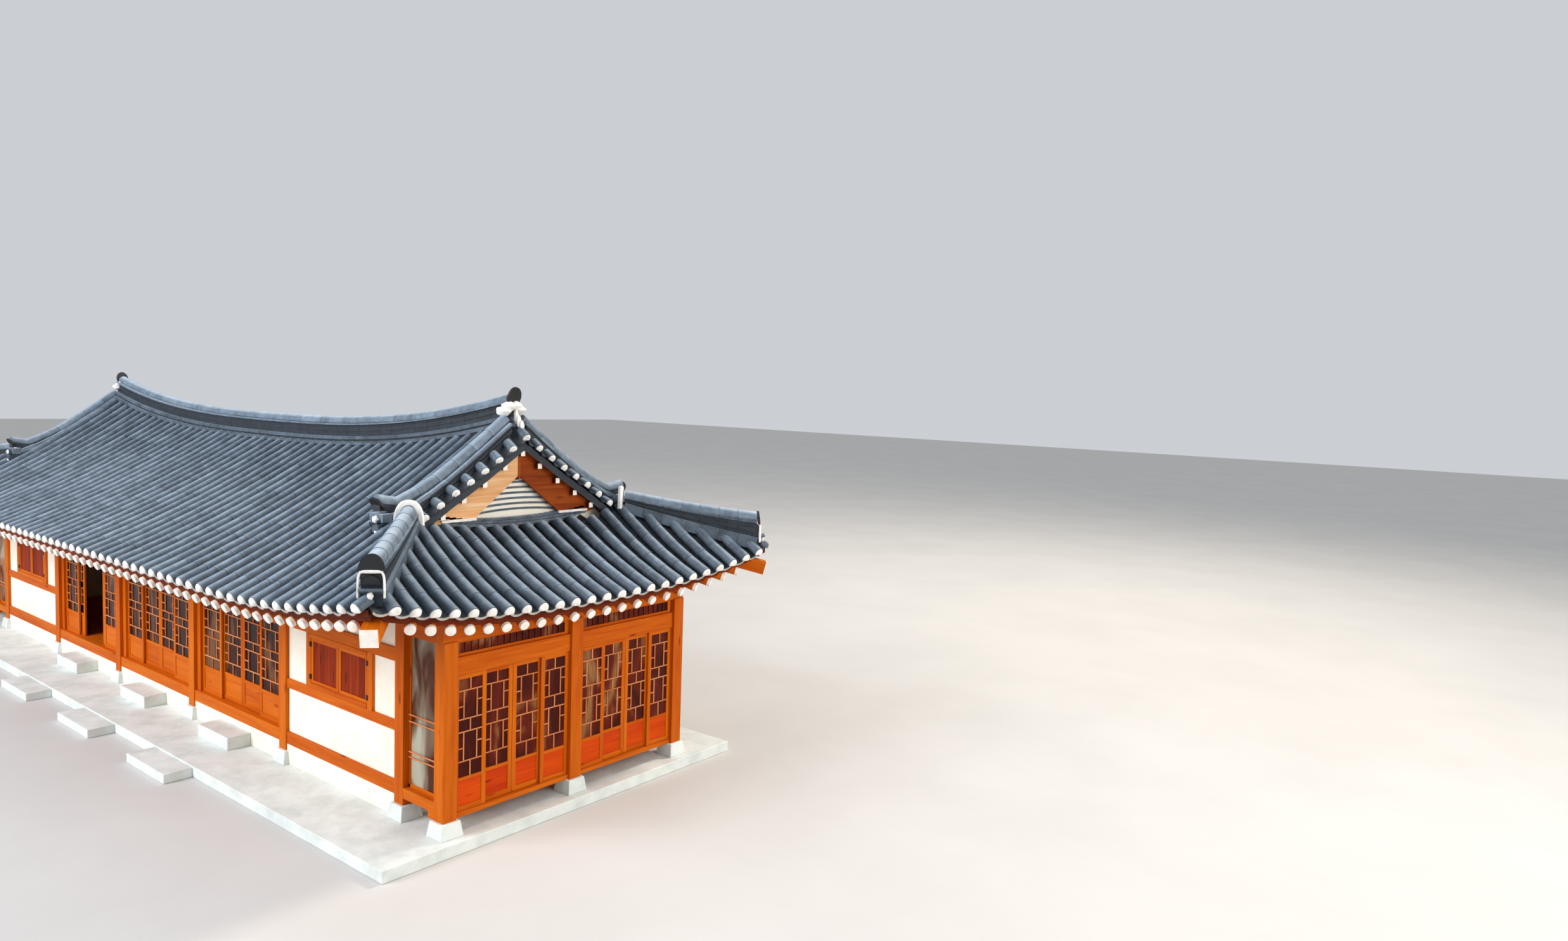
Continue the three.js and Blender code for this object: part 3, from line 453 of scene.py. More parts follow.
@dataclass(frozen=True)
class RoofForm:
    """The curved surface through the cover tiles' centres, the same as in the part's source."""

    eave_y: float = 3.5
    corner_y: float = 3.56
    eave_x: float = 8.95
    corner_x: float = 9.2
    eave_z: float = FOOT_Z + 2.655
    gable_eave_z: float = FOOT_Z + 2.61
    corner_lift: float = 0.38
    lift_start: float = 5.3
    ridge_half: float = 7.05
    apex: float = FOOT_Z + 4.4
    ridge_lift: float = 0.56
    ridge_bow: float = 2.7
    straight: float = 0.75
    hip_top: tuple[float, float] = (7.38, 1.89)
    rake_x: float = 7.35
    rake_drop: tuple[float, float] = (0.24, 0.11)
    rake_ease: float = 1.209
    foot_x: float = 7.11
    foot_width: float = 1.25
    skirt_rise: float = 0.85
    skirt_bow: float = 2.4

    def eave_y_at(self, x: float) -> float:
        """Gives the front eave's distance from the ridge line at x."""
        return self.eave_y + (self.corner_y - self.eave_y) * (abs(x) / self.corner_x) ** 4

    def eave_z_at(self, x: float) -> float:
        """Gives the front eave's height at x."""
        share = max(0.0, abs(x) - self.lift_start) / (self.corner_x - self.lift_start)
        return self.eave_z + self.corner_lift * share ** 2

    def apex_z(self, x: float) -> float:
        """Gives the height of the ridge line at x."""
        return self.apex + self.ridge_lift * (abs(x) / self.ridge_half) ** self.ridge_bow

    def rise(self, t: float) -> float:
        """Gives the share of a slope's rise at a share of its run."""
        return t * (self.straight + (1 - self.straight) * t)

    def hip_x(self, y: float) -> float:
        """Gives the hip line's x at the distance y from the ridge line."""
        top_x, top_y = self.hip_top
        return top_x + (y - top_y) * (self.corner_x - top_x) / (self.corner_y - top_y)

    def hip_y(self, x: float) -> float:
        """Gives the hip line's distance from the ridge line at x."""
        top_x, top_y = self.hip_top
        return top_y + (x - top_x) * (self.corner_y - top_y) / (self.corner_x - top_x)

    @property
    def hip_slope(self) -> float:
        """How far the hip line runs along the ridge for each metre away from it."""
        return (self.corner_x - self.hip_top[0]) / (self.corner_y - self.hip_top[1])

    @property
    def hip_share(self) -> float:
        """The share of a main slope at which its hips end."""
        return 1 - self.hip_top[1] / self.eave_y_at(self.hip_top[0])

    def main_z(self, x: float, y: float) -> float:
        """Gives a main slope's height over a plan point."""
        share = 1 - abs(y) / self.eave_y_at(x)
        return self.eave_z_at(x) + (self.apex_z(x) - self.eave_z_at(x)) * self.rise(share)

    def rake_z(self, x: float, y: float) -> float:
        """Gives a main slope's height with the drop of its tiles past the ridge's end.

        Args:
            x: Place along the ridge.
            y: Distance from the ridge line.

        Returns:
            The height of the tile centres.
        """
        over = max(0.0, abs(x) - self.ridge_half) / (self.rake_x - self.ridge_half)
        near, far = self.rake_drop
        drop = near + (far - near) * min(1.0, abs(y) / self.rake_ease)
        return self.main_z(min(abs(x), self.ridge_half), y) - drop * min(1.0, over)

    def hip_point(self, t: float) -> tuple[float, float]:
        """Finds where the hip line crosses a level line of the main slope.

        Args:
            t: Share of the slope's run, 0 at the eave.

        Returns:
            The plan point, in front on the right.
        """
        x = self.corner_x
        for _ in range(8):
            x = self.hip_x((1 - t) * self.eave_y_at(x))
        return x, (1 - t) * self.eave_y_at(x)

    def main_point(self, t: float, h: float, s: float, inset: float = 0.01) -> Vector:
        """Gives a point of the front slope.

        Args:
            t: Share of the slope's run, 0 at the eave.
            h: Height above the tile centres.
            s: From -1 to 1 along the eave.
            inset: Distance that it keeps from the hips.

        Returns:
            The point, between the hips or the rakes.
        """
        low = t <= self.hip_share
        x = s * (self.hip_point(t)[0] - inset if low else self.rake_x - 0.02)
        y = max((1 - t) * self.eave_y_at(x), 0.001)
        return Vector((x, -y, (self.main_z(x, y) if low else self.rake_z(x, y)) + h))

    def skirt_centre_z(self, x: float) -> float:
        """Gives the skirt's height on its middle line."""
        share = (self.eave_x - x) / (self.eave_x - self.foot_x)
        return self.gable_eave_z + self.skirt_rise * self.rise(max(0.0, share))

    def skirt_z(self, centre_x: float, y: float) -> float:
        """Gives the skirt's height on one of its level lines.

        Args:
            centre_x: Where the line crosses the skirt's middle.
            y: Place along the line.

        Returns:
            The height of the tile centres.
        """
        share = min(1.0, max(0.0, (self.eave_x - centre_x) / (self.eave_x - self.hip_top[0])))
        hip_x, hip_y = self.hip_point(share * self.hip_share)
        lift = (self.main_z(hip_x, hip_y) - self.skirt_centre_z(centre_x)) / hip_y ** self.skirt_bow
        return self.skirt_centre_z(centre_x) + lift * abs(y) ** self.skirt_bow

    def skirt_point(self, u: float, h: float, s: float) -> Vector:
        """Gives a point of the right skirt.

        Args:
            u: 0 at the eave, 1 at the hip tops, 2 at the foot of the gable wall.
            h: Height above the surface.
            s: From -1 to 1 across the skirt.

        Returns:
            The point.
        """
        if u > 1:
            x = self.rake_x + (self.foot_x - self.rake_x) * (u - 1)
            y = s * self.foot_width
            return Vector((x, y, self.skirt_z(x, y) + h))
        hip_x, hip_y = self.hip_point(u * self.hip_share)
        centre = self.eave_x + (self.hip_top[0] - self.eave_x) * u
        y = s * hip_y
        return Vector((centre + (hip_x - centre) * s * s, y, self.skirt_z(centre, y) + h))

    def skirt_height(self, x: float, y: float) -> float:
        """Gives the skirt's height over a plan point.

        Args:
            x: Place along the ridge.
            y: Distance from the ridge line.

        Returns:
            The height of the tile centres.
        """
        centre = x
        if x > self.hip_top[0]:
            for _ in range(6):
                u = (self.eave_x - centre) / (self.eave_x - self.hip_top[0])
                _, hip_y = self.hip_point(u * self.hip_share)
                centre += x - self.skirt_point(u, 0, y / hip_y).x
        return self.skirt_z(centre, y)

    def eave_x_at(self, y: float) -> float:
        """Gives the skirt's eave at y."""
        return self.eave_x + (self.corner_x - self.eave_x) * (y / self.corner_y) ** 2


ROOF = RoofForm()


@dataclass
class Template:
    """A small shape made once with mesh operators, ready to be repeated."""

    points: np.ndarray
    corners: np.ndarray
    starts: np.ndarray

    @staticmethod
    def of(shape: bmesh.types.BMesh) -> "Template":
        """Reads and frees a bmesh.

        Args:
            shape: The finished shape.

        Returns:
            Its points, face corners and the start of each face.
        """
        mesh = bpy.data.meshes.new("template")
        shape.to_mesh(mesh)
        shape.free()
        points = np.empty(len(mesh.vertices) * 3)
        mesh.vertices.foreach_get("co", points)
        corners = np.empty(len(mesh.loops), dtype=np.int32)
        mesh.loops.foreach_get("vertex_index", corners)
        starts = np.empty(len(mesh.polygons), dtype=np.int32)
        mesh.polygons.foreach_get("loop_start", starts)
        bpy.data.meshes.remove(mesh)
        return Template(points.reshape(-1, 3), corners, starts)

    def flipped(self) -> "Template":
        """Gives the same shape with its faces turned over, for mirrored copies."""
        faces = np.split(self.corners, self.starts[1:])
        return Template(self.points, np.concatenate([face[::-1] for face in faces]), self.starts)


def move(x: float, y: float, z: float) -> Matrix:
    """Gives the matrix that moves a shape."""
    return Matrix.Translation((x, y, z))


def stretch(x: float, y: float, z: float) -> Matrix:
    """Gives the matrix that stretches a shape along its axes."""
    return Matrix.Diagonal((x, y, z, 1))


def cube() -> Template:
    """Makes a cube of side 1 about the origin."""
    shape = bmesh.new()
    bmesh.ops.create_cube(shape, size=1.0)
    return Template.of(shape)


def half_round(radius: float, cut: float, rings: Sequence[Span], sides: int = 16) -> Template:
    """Makes a closed half-round length, flat below.

    Args:
        radius: Of the round.
        cut: Height of the flat underside.
        rings: Position along Y and share of the radius, for each ring.
        sides: Of the full circle.

    Returns:
        The shape, lying along +Y.
    """
    shape = bmesh.new()
    bmesh.ops.create_circle(shape, cap_ends=True, radius=radius, segments=sides)
    bmesh.ops.rotate(shape, verts=shape.verts, matrix=Matrix.Rotation(math.pi / 2, 3, "X"))
    parts = shape.verts[:] + shape.edges[:] + shape.faces[:]
    bmesh.ops.bisect_plane(shape, geom=parts, plane_co=(0, 0, cut), plane_no=(0, 0, -1), clear_outer=True)
    face = shape.faces[:][0]
    done = rings[0]
    bmesh.ops.translate(shape, verts=face.verts, vec=(0, done[0], 0))
    bmesh.ops.scale(shape, verts=face.verts, vec=(done[1], 1, done[1]))
    for ring in rings[1:]:
        out = bmesh.ops.extrude_face_region(shape, geom=[face])
        face = next(g for g in out["geom"] if isinstance(g, bmesh.types.BMFace))
        verts = face.verts[:]
        bmesh.ops.translate(shape, verts=verts, vec=(0, ring[0] - done[0], 0))
        bmesh.ops.scale(shape, verts=verts, vec=(ring[1] / done[1], 1, ring[1] / done[1]))
        done = ring
    bmesh.ops.recalc_face_normals(shape, faces=shape.faces[:])
    return Template.of(shape)


def plate(radius: float, cut: float, thickness: float, sides: int = 16) -> Template:
    """Makes a half-round plate that lies along +Y, flat below."""
    return half_round(radius, cut, [(0.0, 1.0), (thickness, 1.0)], sides)


def trough(width: float, sag: float, thickness: float) -> Template:
    """Makes a channel tile of length 1 along +Y, hollow upwards.

    Args:
        width: Across.
        sag: Depth of the hollow.
        thickness: Of the clay.

    Returns:
        The shape.
    """
    shape = bmesh.new()
    bmesh.ops.create_grid(shape, x_segments=6, y_segments=1, size=0.5)
    bmesh.ops.scale(shape, verts=shape.verts[:], vec=(width, 1, 1))
    bmesh.ops.translate(shape, verts=shape.verts[:], vec=(0, 0.5, 0))
    for vert in shape.verts:
        vert.co.z = sag * ((2 * vert.co.x / width) ** 2 - 1)
    out = bmesh.ops.extrude_face_region(shape, geom=shape.faces[:])
    lowered = [g for g in out["geom"] if isinstance(g, bmesh.types.BMVert)]
    bmesh.ops.translate(shape, verts=lowered, vec=(0, 0, -thickness))
    bmesh.ops.recalc_face_normals(shape, faces=shape.faces[:])
    return Template.of(shape)


def log_shape(sides: int = 14) -> Template:
    """Makes a log of radius 1 and length 1 along +Y."""
    shape = bmesh.new()
    bmesh.ops.create_cone(shape, cap_ends=True, segments=sides, radius1=1, radius2=1, depth=1)
    turn = Matrix.Rotation(-math.pi / 2, 3, "X")
    bmesh.ops.rotate(shape, verts=shape.verts[:], matrix=turn)
    bmesh.ops.translate(shape, verts=shape.verts[:], vec=(0, 0.5, 0))
    return Template.of(shape)


def dome(bulge: float) -> Template:
    """Makes a domed disc of radius 1 whose crown points to -Y, closed behind.

    Args:
        bulge: Height of the crown as a share of the radius.

    Returns:
        The shape.
    """
    shape = bmesh.new()
    bmesh.ops.create_uvsphere(shape, u_segments=14, v_segments=8, radius=1)
    bmesh.ops.rotate(shape, verts=shape.verts[:], matrix=Matrix.Rotation(math.pi / 2, 3, "X"))
    parts = shape.verts[:] + shape.edges[:] + shape.faces[:]
    cut = bmesh.ops.bisect_plane(
        shape, geom=parts, plane_co=(0, 0.05, 0), plane_no=(0, 1, 0), clear_outer=True
    )
    rim = [g for g in cut["geom_cut"] if isinstance(g, bmesh.types.BMEdge)]
    bmesh.ops.holes_fill(shape, edges=rim, sides=0)
    bmesh.ops.scale(shape, verts=shape.verts[:], vec=(1, bulge, 1))
    bmesh.ops.recalc_face_normals(shape, faces=shape.faces[:])
    return Template.of(shape)


LUMP_UNEVEN = 0.07


def lump() -> Template:
    """Makes an uneven round lump of radius 1, as thrown mortar is."""
    shape = bmesh.new()
    bmesh.ops.create_icosphere(shape, subdivisions=3, radius=1)
    for vert in shape.verts:
        x, y, z = vert.co
        wave = math.sin(5 * x + 1) * math.cos(4 * y) + math.sin(6 * z + 2 * x)
        vert.co *= 1 + LUMP_UNEVEN * wave
    return Template.of(shape)


def mapped(
    columns: int, rows: int, place: Callable[[int, int], Vector], closed: bool = False
) -> Template:
    """Bends a grid into a curved sheet or tube.

    Args:
        columns: Steps across.
        rows: Steps along.
        place: Gives the point for a column and a row.
        closed: Welds the first column to the last and fills both ends.

    Returns:
        The shape.
    """
    shape = bmesh.new()
    bmesh.ops.create_grid(shape, x_segments=columns, y_segments=rows, size=0.5)
    for vert in shape.verts:
        vert.co = place(round((vert.co.x + 0.5) * columns), round((vert.co.y + 0.5) * rows))
    if closed:
        bmesh.ops.remove_doubles(shape, verts=shape.verts[:], dist=1e-6)
        rims = [edge for edge in shape.edges if edge.is_boundary]
        bmesh.ops.holes_fill(shape, edges=rims, sides=0)
        bmesh.ops.recalc_face_normals(shape, faces=shape.faces[:])
    return Template.of(shape)


# Edges flatter than this are shaded smooth
SMOOTH_BELOW = math.radians(40)
# How far the grain of one board may be shifted from that of the next
GRAIN_SHIFT = (9.0, 3.0, 3.0)


@dataclass
class Piece:
    """Collects shapes for one object: each shape has a finish, a tone and a grain of its own.

    All of them are made on the front or the right, and the piece's turn takes them to their place.
    """

    name: str
    turn: Matrix = field(default_factory=lambda: TURNS[1])
    materials: list[Material] = field(default_factory=list)
    points: list[np.ndarray] = field(default_factory=list)
    corners: list[np.ndarray] = field(default_factory=list)
    starts: list[np.ndarray] = field(default_factory=list)
    finishes: list[np.ndarray] = field(default_factory=list)
    tones: list[np.ndarray] = field(default_factory=list)
    grains: list[np.ndarray] = field(default_factory=list)
    point_count: int = 0
    corner_count: int = 0

    def stamp(
        self,
        template: Template,
        places: Sequence[Matrix],
        finish: Material,
        size: Optional[np.ndarray] = None,
        long_axis: int = 1,
    ) -> None:
        """Repeats a template.

        Args:
            template: The shape.
            places: A matrix for each copy.
            finish: Its material.
            size: True size of the template in each copy, for the grain, one row a copy.
            long_axis: The axis of the template that the grain follows.
        """
        if not places:
            return
        if finish not in self.materials:
            self.materials.append(finish)
        matrices = np.array([[list(row) for row in self.turn @ place] for place in places])
        if np.linalg.det(matrices[0, :3, :3]) < 0:
            template = template.flipped()
        count, verts = len(matrices), len(template.points)
        moved = np.einsum("kij,vj->kvi", matrices[:, :3, :3], template.points) + matrices[:, None, :3, 3]
        offsets = self.point_count + np.arange(count) * verts
        self.points.append(moved.reshape(-1, 3))
        self.corners.append((template.corners[None] + offsets[:, None]).ravel())
        steps = self.corner_count + np.arange(count) * len(template.corners)
        self.starts.append((template.starts[None] + steps[:, None]).ravel())
        slot = self.materials.index(finish)
        self.finishes.append(np.full(count * len(template.starts), slot, dtype=np.int32))
        tone = RNG.random(count)
        self.tones.append(np.repeat(tone, verts))
        scale = np.linalg.norm(matrices[:, :3, :3], axis=1) if size is None else size
        grain = np.roll(template.points[None] * scale[:, None], -long_axis, axis=2)
        grain = grain + RNG.random((count, 1, 3)) * GRAIN_SHIFT
        self.grains.append(grain.reshape(-1, 3))
        self.point_count += count * verts
        self.corner_count += count * len(template.corners)

    def boxes(self, boxes: Sequence[Box], finish: Material, place: Matrix = TURNS[1]) -> None:
        """Adds straight timbers or blocks, each with its grain along its longest side.

        Args:
            boxes: The x, y and z range of each.
            finish: Their material.
            place: Applied to all of them afterwards.
        """
        for axis in range(3):
            places = []
            for box in boxes:
                size = [high - low for low, high in box]
                if size.index(max(size)) != axis:
                    continue
                middle = [(low + high) / 2 for low, high in box]
                places.append(place @ move(*middle) @ stretch(*size))
            self.stamp(CUBE, places, finish, long_axis=axis)

    def make(
        self, body: str = "house", replaces: Sequence[str] = (), bevel: float = 0.0
    ) -> None:
        """Makes the object, hangs it from its body and hides the part's nodes that it stands for.

        Args:
            body: What it moves with.
            replaces: Nodes of the part that it stands for.
            bevel: Width of rounded edges, 0 for none.
        """
        mesh = bpy.data.meshes.new(self.name)
        corners = np.concatenate(self.corners).astype(np.int32)
        starts = np.concatenate(self.starts).astype(np.int32)
        mesh.vertices.add(self.point_count)
        mesh.vertices.foreach_set("co", np.concatenate(self.points).ravel().astype(np.float32))
        mesh.loops.add(len(corners))
        mesh.loops.foreach_set("vertex_index", corners)
        mesh.polygons.add(len(starts))
        mesh.polygons.foreach_set("loop_start", starts)
        mesh.polygons.foreach_set("material_index", np.concatenate(self.finishes))
        mesh.update(calc_edges=True)
        tone = mesh.attributes.new("tone", "FLOAT", "POINT")
        tone.data.foreach_set("value", np.concatenate(self.tones).astype(np.float32))
        grain = mesh.attributes.new("grain", "FLOAT_VECTOR", "POINT")
        grain.data.foreach_set("vector", np.concatenate(self.grains).ravel().astype(np.float32))
        for material in self.materials:
            mesh.materials.append(material)
        mesh.shade_smooth()
        mesh.set_sharp_from_angle(angle=SMOOTH_BELOW)
        thing = bpy.data.objects.new(self.name, mesh)
        bpy.context.collection.objects.link(thing)
        if bevel:
            rounded = thing.modifiers.new("eased edges", "BEVEL")
            rounded.width = bevel
            rounded.segments = 2
            rounded.limit_method = "ANGLE"
        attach(thing, body)
        if replaces:
            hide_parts(*replaces)
        LOG.info("%s: %d faces", self.name, len(mesh.polygons))


CUBE = cube()


def between(start: Vector, end: Vector, side: Vector, radius: float = 1.0) -> Matrix:
    """Places a template of length 1 along +Y from one point to another.

    Args:
        start: Where its Y is 0.
        end: Where its Y is 1.
        side: Roughly the direction of its X.
        radius: Scale across.

    Returns:
        The matrix.
    """
    along = end - start
    up = side.cross(along).normalized()
    across = along.cross(up).normalized()
    columns = (across * radius, along, up * radius, start)
    return Matrix([[column[i] for column in columns] for i in range(3)] + [[0, 0, 0, 1]])


def spread(low: float, high: float, pitch: float) -> list[float]:
    """Splits a length into equal steps of about a pitch, and gives their ends."""
    count = max(1, round(abs(high - low) / pitch))
    return [low + (high - low) * i / count for i in range(count + 1)]


Rows = tuple[list[list[Vector]], list[list[Vector]]]


@dataclass
class TiledSlopes:
    """Channel tiles with rows of half-round cover tiles, and the boards and plaster under them."""

    palette: Palette
    row_pitch: float = 0.3
    skirt_pitch: float = 0.2785
    skirt_shift: float = -0.124
    tile_length: float = 0.34
    lap: float = 0.19
    shortest: float = 0.12
    hip_clear: float = 0.02
    ridge_reach: float = 7.0
    ridge_clear: float = 0.1
    rake_stop: float = 1.8
    wall_stop: float = 7.16
    ledge_stop: float = 7.36
    radius: float = 0.082
    cover_cut: float = -0.03
    channel_width: float = 0.25
    channel_sag: float = 0.052
    channel_tip: float = 0.008
    channel_lap: float = 0.15
    lip_sag: float = 0.055
    plug_radius: float = 0.074
    bed: float = -0.006
    deck_top: float = -0.075
    eave_down: float = 0.15
    deck_down: float = 0.192
    main_columns: int = 60
    skirt_columns: int = 30

    def rows(
        self,
        halves: range,
        line_at: Callable[[float], tuple[Span, Callable[[float], Vector]]],
        pitch: float,
        shift: float = 0.0,
    ) -> Rows:
        """Gives the lines of a slope.

        Args:
            halves: Counts half pitches from the middle: cover rows are even, channels odd.
            line_at: Gives the lower and upper end of the row at a place along the eave, and its points.
            pitch: Of the cover rows.
            shift: Of the row in the middle.

        Returns:
            The cover rows and the channel rows, each from the eave upwards.
        """
        covers: list[list[Vector]] = []
        channels: list[list[Vector]] = []
        for half in halves:
            (low, high), point = line_at(half * pitch / 2 + shift)
            if low - high < self.shortest:
                continue
            step, kind = (self.tile_length, covers) if half % 2 == 0 else (self.lap, channels)
            kind.append([point(run) for run in spread(low, high, step)])
        return covers, channels

    def main_line(self, x: float) -> tuple[Span, Callable[[float], Vector]]:
        """Gives the ends and the points of the front slope's row at x.

        Args:
            x: Place along the eave.

        Returns:
            The row's ends as distances from the ridge line, and the point at such a distance.
        """
        if abs(x) < self.ridge_reach:
            high = self.ridge_clear
        elif abs(x) < ROOF.hip_top[0]:
            high = self.rake_stop
        else:
            high = ROOF.hip_y(abs(x)) + self.hip_clear
        return (ROOF.eave_y_at(x), high), lambda y: Vector((x, -y, ROOF.main_z(x, y)))

    def skirt_line(self, y: float) -> tuple[Span, Callable[[float], Vector]]:
        """Gives the ends and the points of the right skirt's row at y.

        Args:
            y: Place along the eave.

        Returns:
            The row's ends along X, and the point at such a place.
        """
        if abs(y) < ROOF.foot_width:
            high = self.wall_stop
        elif abs(y) < ROOF.hip_top[1]:
            high = self.ledge_stop
        else:
            high = ROOF.hip_x(abs(y)) + self.hip_clear
        return (ROOF.eave_x_at(y), high), lambda x: Vector((x, y, ROOF.skirt_height(x, y)))

    def lay(self, side: str, rows: Rows, across: Vector, turn: Matrix) -> None:
        """Lays the tiles of one slope.

        Args:
            side: Name of the side of the house.
            rows: Cover and channel rows.
            across: Along the eave, so that up is outwards.
            turn: Places the slope on its side of the house.
        """
        palette = self.palette
        piece = Piece(f"{side}_tiles", turn)
        covers, channels = rows
        rings = [(0.0, 1.03), (0.04, 1.03), (0.055, 0.99), (1.0, 0.95)]
        cover = half_round(self.radius, self.cover_cut, rings)
        places = [between(a, b, across) for line in covers for a, b in zip(line, line[1:])]
        piece.stamp(cover, places, palette.tile)
        tip = UP * self.channel_tip
        bed = UP * self.bed
        places = []
        for line in channels:
            for a, b in zip(line, line[1:]):
                beyond = b + (b - a) * self.channel_lap
                places.append(between(a + bed + tip, beyond + bed - tip, across))
        piece.stamp(trough(self.channel_width, self.channel_sag, 0.02), places, palette.channel)
        # The channel tiles' front edges are drawn pale grey: a painted highlight
        places = []
        for line in channels:
            start, out = line[0] + bed + tip, (line[0] - line[1]).normalized()
            places.append(between(start + out * 0.012, start - out * 0.02, across))
        piece.stamp(trough(self.channel_width, self.lip_sag, 0.028), places, palette.highlit_lip)
        rings = [(-0.042, 0.5), (-0.03, 0.8), (-0.012, 0.98), (0.02, 1.0)]
        plug = half_round(self.plug_radius, -0.036, rings, 20)
        places = []
        for line in covers:
            inwards = (line[1] - line[0]).normalized()
            places.append(between(line[0], line[0] + inwards, across))
        piece.stamp(plug, places, palette.mortar)
        piece.make(replaces=[f"{side}_roof"])

    def deck(
        self,
        side: str,
        place: SlopePoint,
        columns: int,
        shares: Sequence[float],
        run: float,
        turn: Matrix,
    ) -> None:
        """Makes the slab under the tiles: plastered between the rafters.

        Args:
            side: Name of the side of the house.
            place: Gives its points.
            columns: Steps across.
            shares: Rows from the eave upwards.
            run: Length of the slope, to turn distances into shares.
            turn: Places the slope on its side of the house.
        """
        palette = self.palette
        piece = Piece(f"{side}_roof_boards", turn)
        rows = [0.09 / run, 0.22 / run, 0.224 / run, *shares]
        under = [(row, -(self.eave_down if k < 2 else self.deck_down)) for k, row in enumerate(rows)]
        over = [(row, self.deck_top) for row in rows]
        sheets = (
            (under[::-1], palette.plaster),
            # The deck's front edge: dark brown, painted shade
            ([under[0], over[0]], palette.shade_dark_pine),
            # The deck's top under the tiles: nearly black, painted shade
            ([*over, under[-1]], palette.stack),
        )
        for levels, finish in sheets:

            def point(i: int, j: int, levels: Sequence[Span] = levels) -> Vector:
                """Gives the point of column i, row j."""
                return place(*levels[j], 2 * i / columns - 1)

            piece.stamp(mapped(columns, len(levels) - 1, point), IN_PLACE, finish)
        # Its ends at the rakes and hips: nearly black, painted shade under the tiles
        for end in (-1, 1):

            def rim(i: int, j: int, end: int = end) -> Vector:
                """Gives the upper or lower point of row j at one end."""
                return place(*((over, under)[i if end > 0 else 1 - i])[j], end)

            piece.stamp(mapped(1, len(rows) - 1, rim), IN_PLACE, palette.stack)
        piece.make()

    @staticmethod
    def skirt_point(u: float, h: float, s: float) -> Vector:
        """Gives a point of the right skirt's deck, just inside its hips."""
        return ROOF.skirt_point(u, h, s * 0.995)

    def build(self) -> None:
        """Lays all four slopes."""
        main = self.rows(range(-60, 61), self.main_line, self.row_pitch)
        skirt = self.rows(range(-24, 25), self.skirt_line, self.skirt_pitch, self.skirt_shift)
        for name, side in LONG_SIDES:
            self.lay(name, main, ALONG_FRONT, TURNS[side])
        for name, side in ENDS:
            self.lay(name, skirt, ALONG_END, TURNS[side])
        share = ROOF.hip_share
        main_shares = [0.25 * share, 0.5 * share, 0.75 * share, share, share + 0.03, 0.65, 0.82, 1.0]
        skirt_shares = [0.25, 0.5, 0.75, 1.0, 1.02, 2.0]
        skirt_run = ROOF.eave_x - ROOF.hip_top[0]
        for name, side in LONG_SIDES:
            self.deck(name, ROOF.main_point, self.main_columns, main_shares, ROOF.eave_y, TURNS[side])
        for name, side in ENDS:
            self.deck(name, self.skirt_point, self.skirt_columns, skirt_shares, skirt_run, TURNS[side])


@dataclass
class RidgeRun:
    """A ridge laid in courses along a curved line, with half-round tiles on top.

    A course is a width, a top over the roof's line and a material, and stands on the course before it.
    """

    crown_finish: Material
    crown: float
    crown_at: float
    bottom: float
    courses: Sequence[tuple[float, float, Material]]
    pitch: float = 0.33
    joint: float = 0.015

    def lay(self, piece: Piece, line: RidgeLine) -> None:
        """Stamps the courses and the crown along a line.

        Args:
            piece: Takes the shapes.
            line: From one end to the other.
        """
        low = self.bottom
        for index, (width, high, finish) in enumerate(self.courses):
            # Every second course starts with half a tile
            points = self.resampled(line, 0.5 * (index % 2) * self.pitch)
            places = []
            for (a, more), (b, later) in zip(points, points[1:]):
                tops = [high * (1 + growth) for growth in (more, later)]
                bottoms = [low if low < 0 else low * (1 + growth) for growth in (more, later)]
                start = a + UP * ((bottoms[0] + tops[0]) / 2)
                end = b + UP * ((bottoms[1] + tops[1]) / 2)
                size = stretch(width, 1 - self.joint, (sum(tops) - sum(bottoms)) / 2)
                course = between(start, end, self.side_of(a, b))
                places.append(course @ move(0, 0.5, 0) @ size)
            piece.stamp(CUBE, places, finish)
            low = high
        cover = half_round(self.crown, -0.02, [(0.0, 1.03), (0.04, 1.03), (0.06, 1.0), (1.0, 0.97)])
        places = []
        points = self.resampled(line, 0)
        for (a, more), (b, later) in zip(points, points[1:]):
            start = a + UP * (self.crown_at * (1 + more))
            end = b + UP * (self.crown_at * (1 + later))
            places.append(between(start, end, self.side_of(a, b)))
        # The crown's pale finish is a painted sky highlight
        piece.stamp(cover, places, self.crown_finish)

    @staticmethod
    def side_of(a: Vector, b: Vector) -> Vector:
        """Gives the level direction across a step of the line."""
        along = b - a
        return Vector((along.y, -along.x, 0)).normalized()

    def resampled(self, line: RidgeLine, shift: float) -> RidgeLine:
        """Walks a line in even steps.

        Args:
            line: The points and their growth.
            shift: Length of a first, shorter step, 0 for none.

        Returns:
            New points along the line with their growth, both ends included.
        """
        lengths = [0.0]
        for (a, _), (b, _) in zip(line, line[1:]):
            lengths.append(lengths[-1] + (b - a).length)
        stops = [0.0] + ([shift] if shift else []) + spread(shift, lengths[-1], self.pitch)[1:]
        out = []
        for stop in stops:
            k = min(len(line) - 2, max(i for i, length in enumerate(lengths[:-1]) if length <= stop + 1e-9))
            share = (stop - lengths[k]) / (lengths[k + 1] - lengths[k])
            (a, more), (b, later) = line[k], line[k + 1]
            out.append((a.lerp(b, share), more + share * (later - more)))
        return out


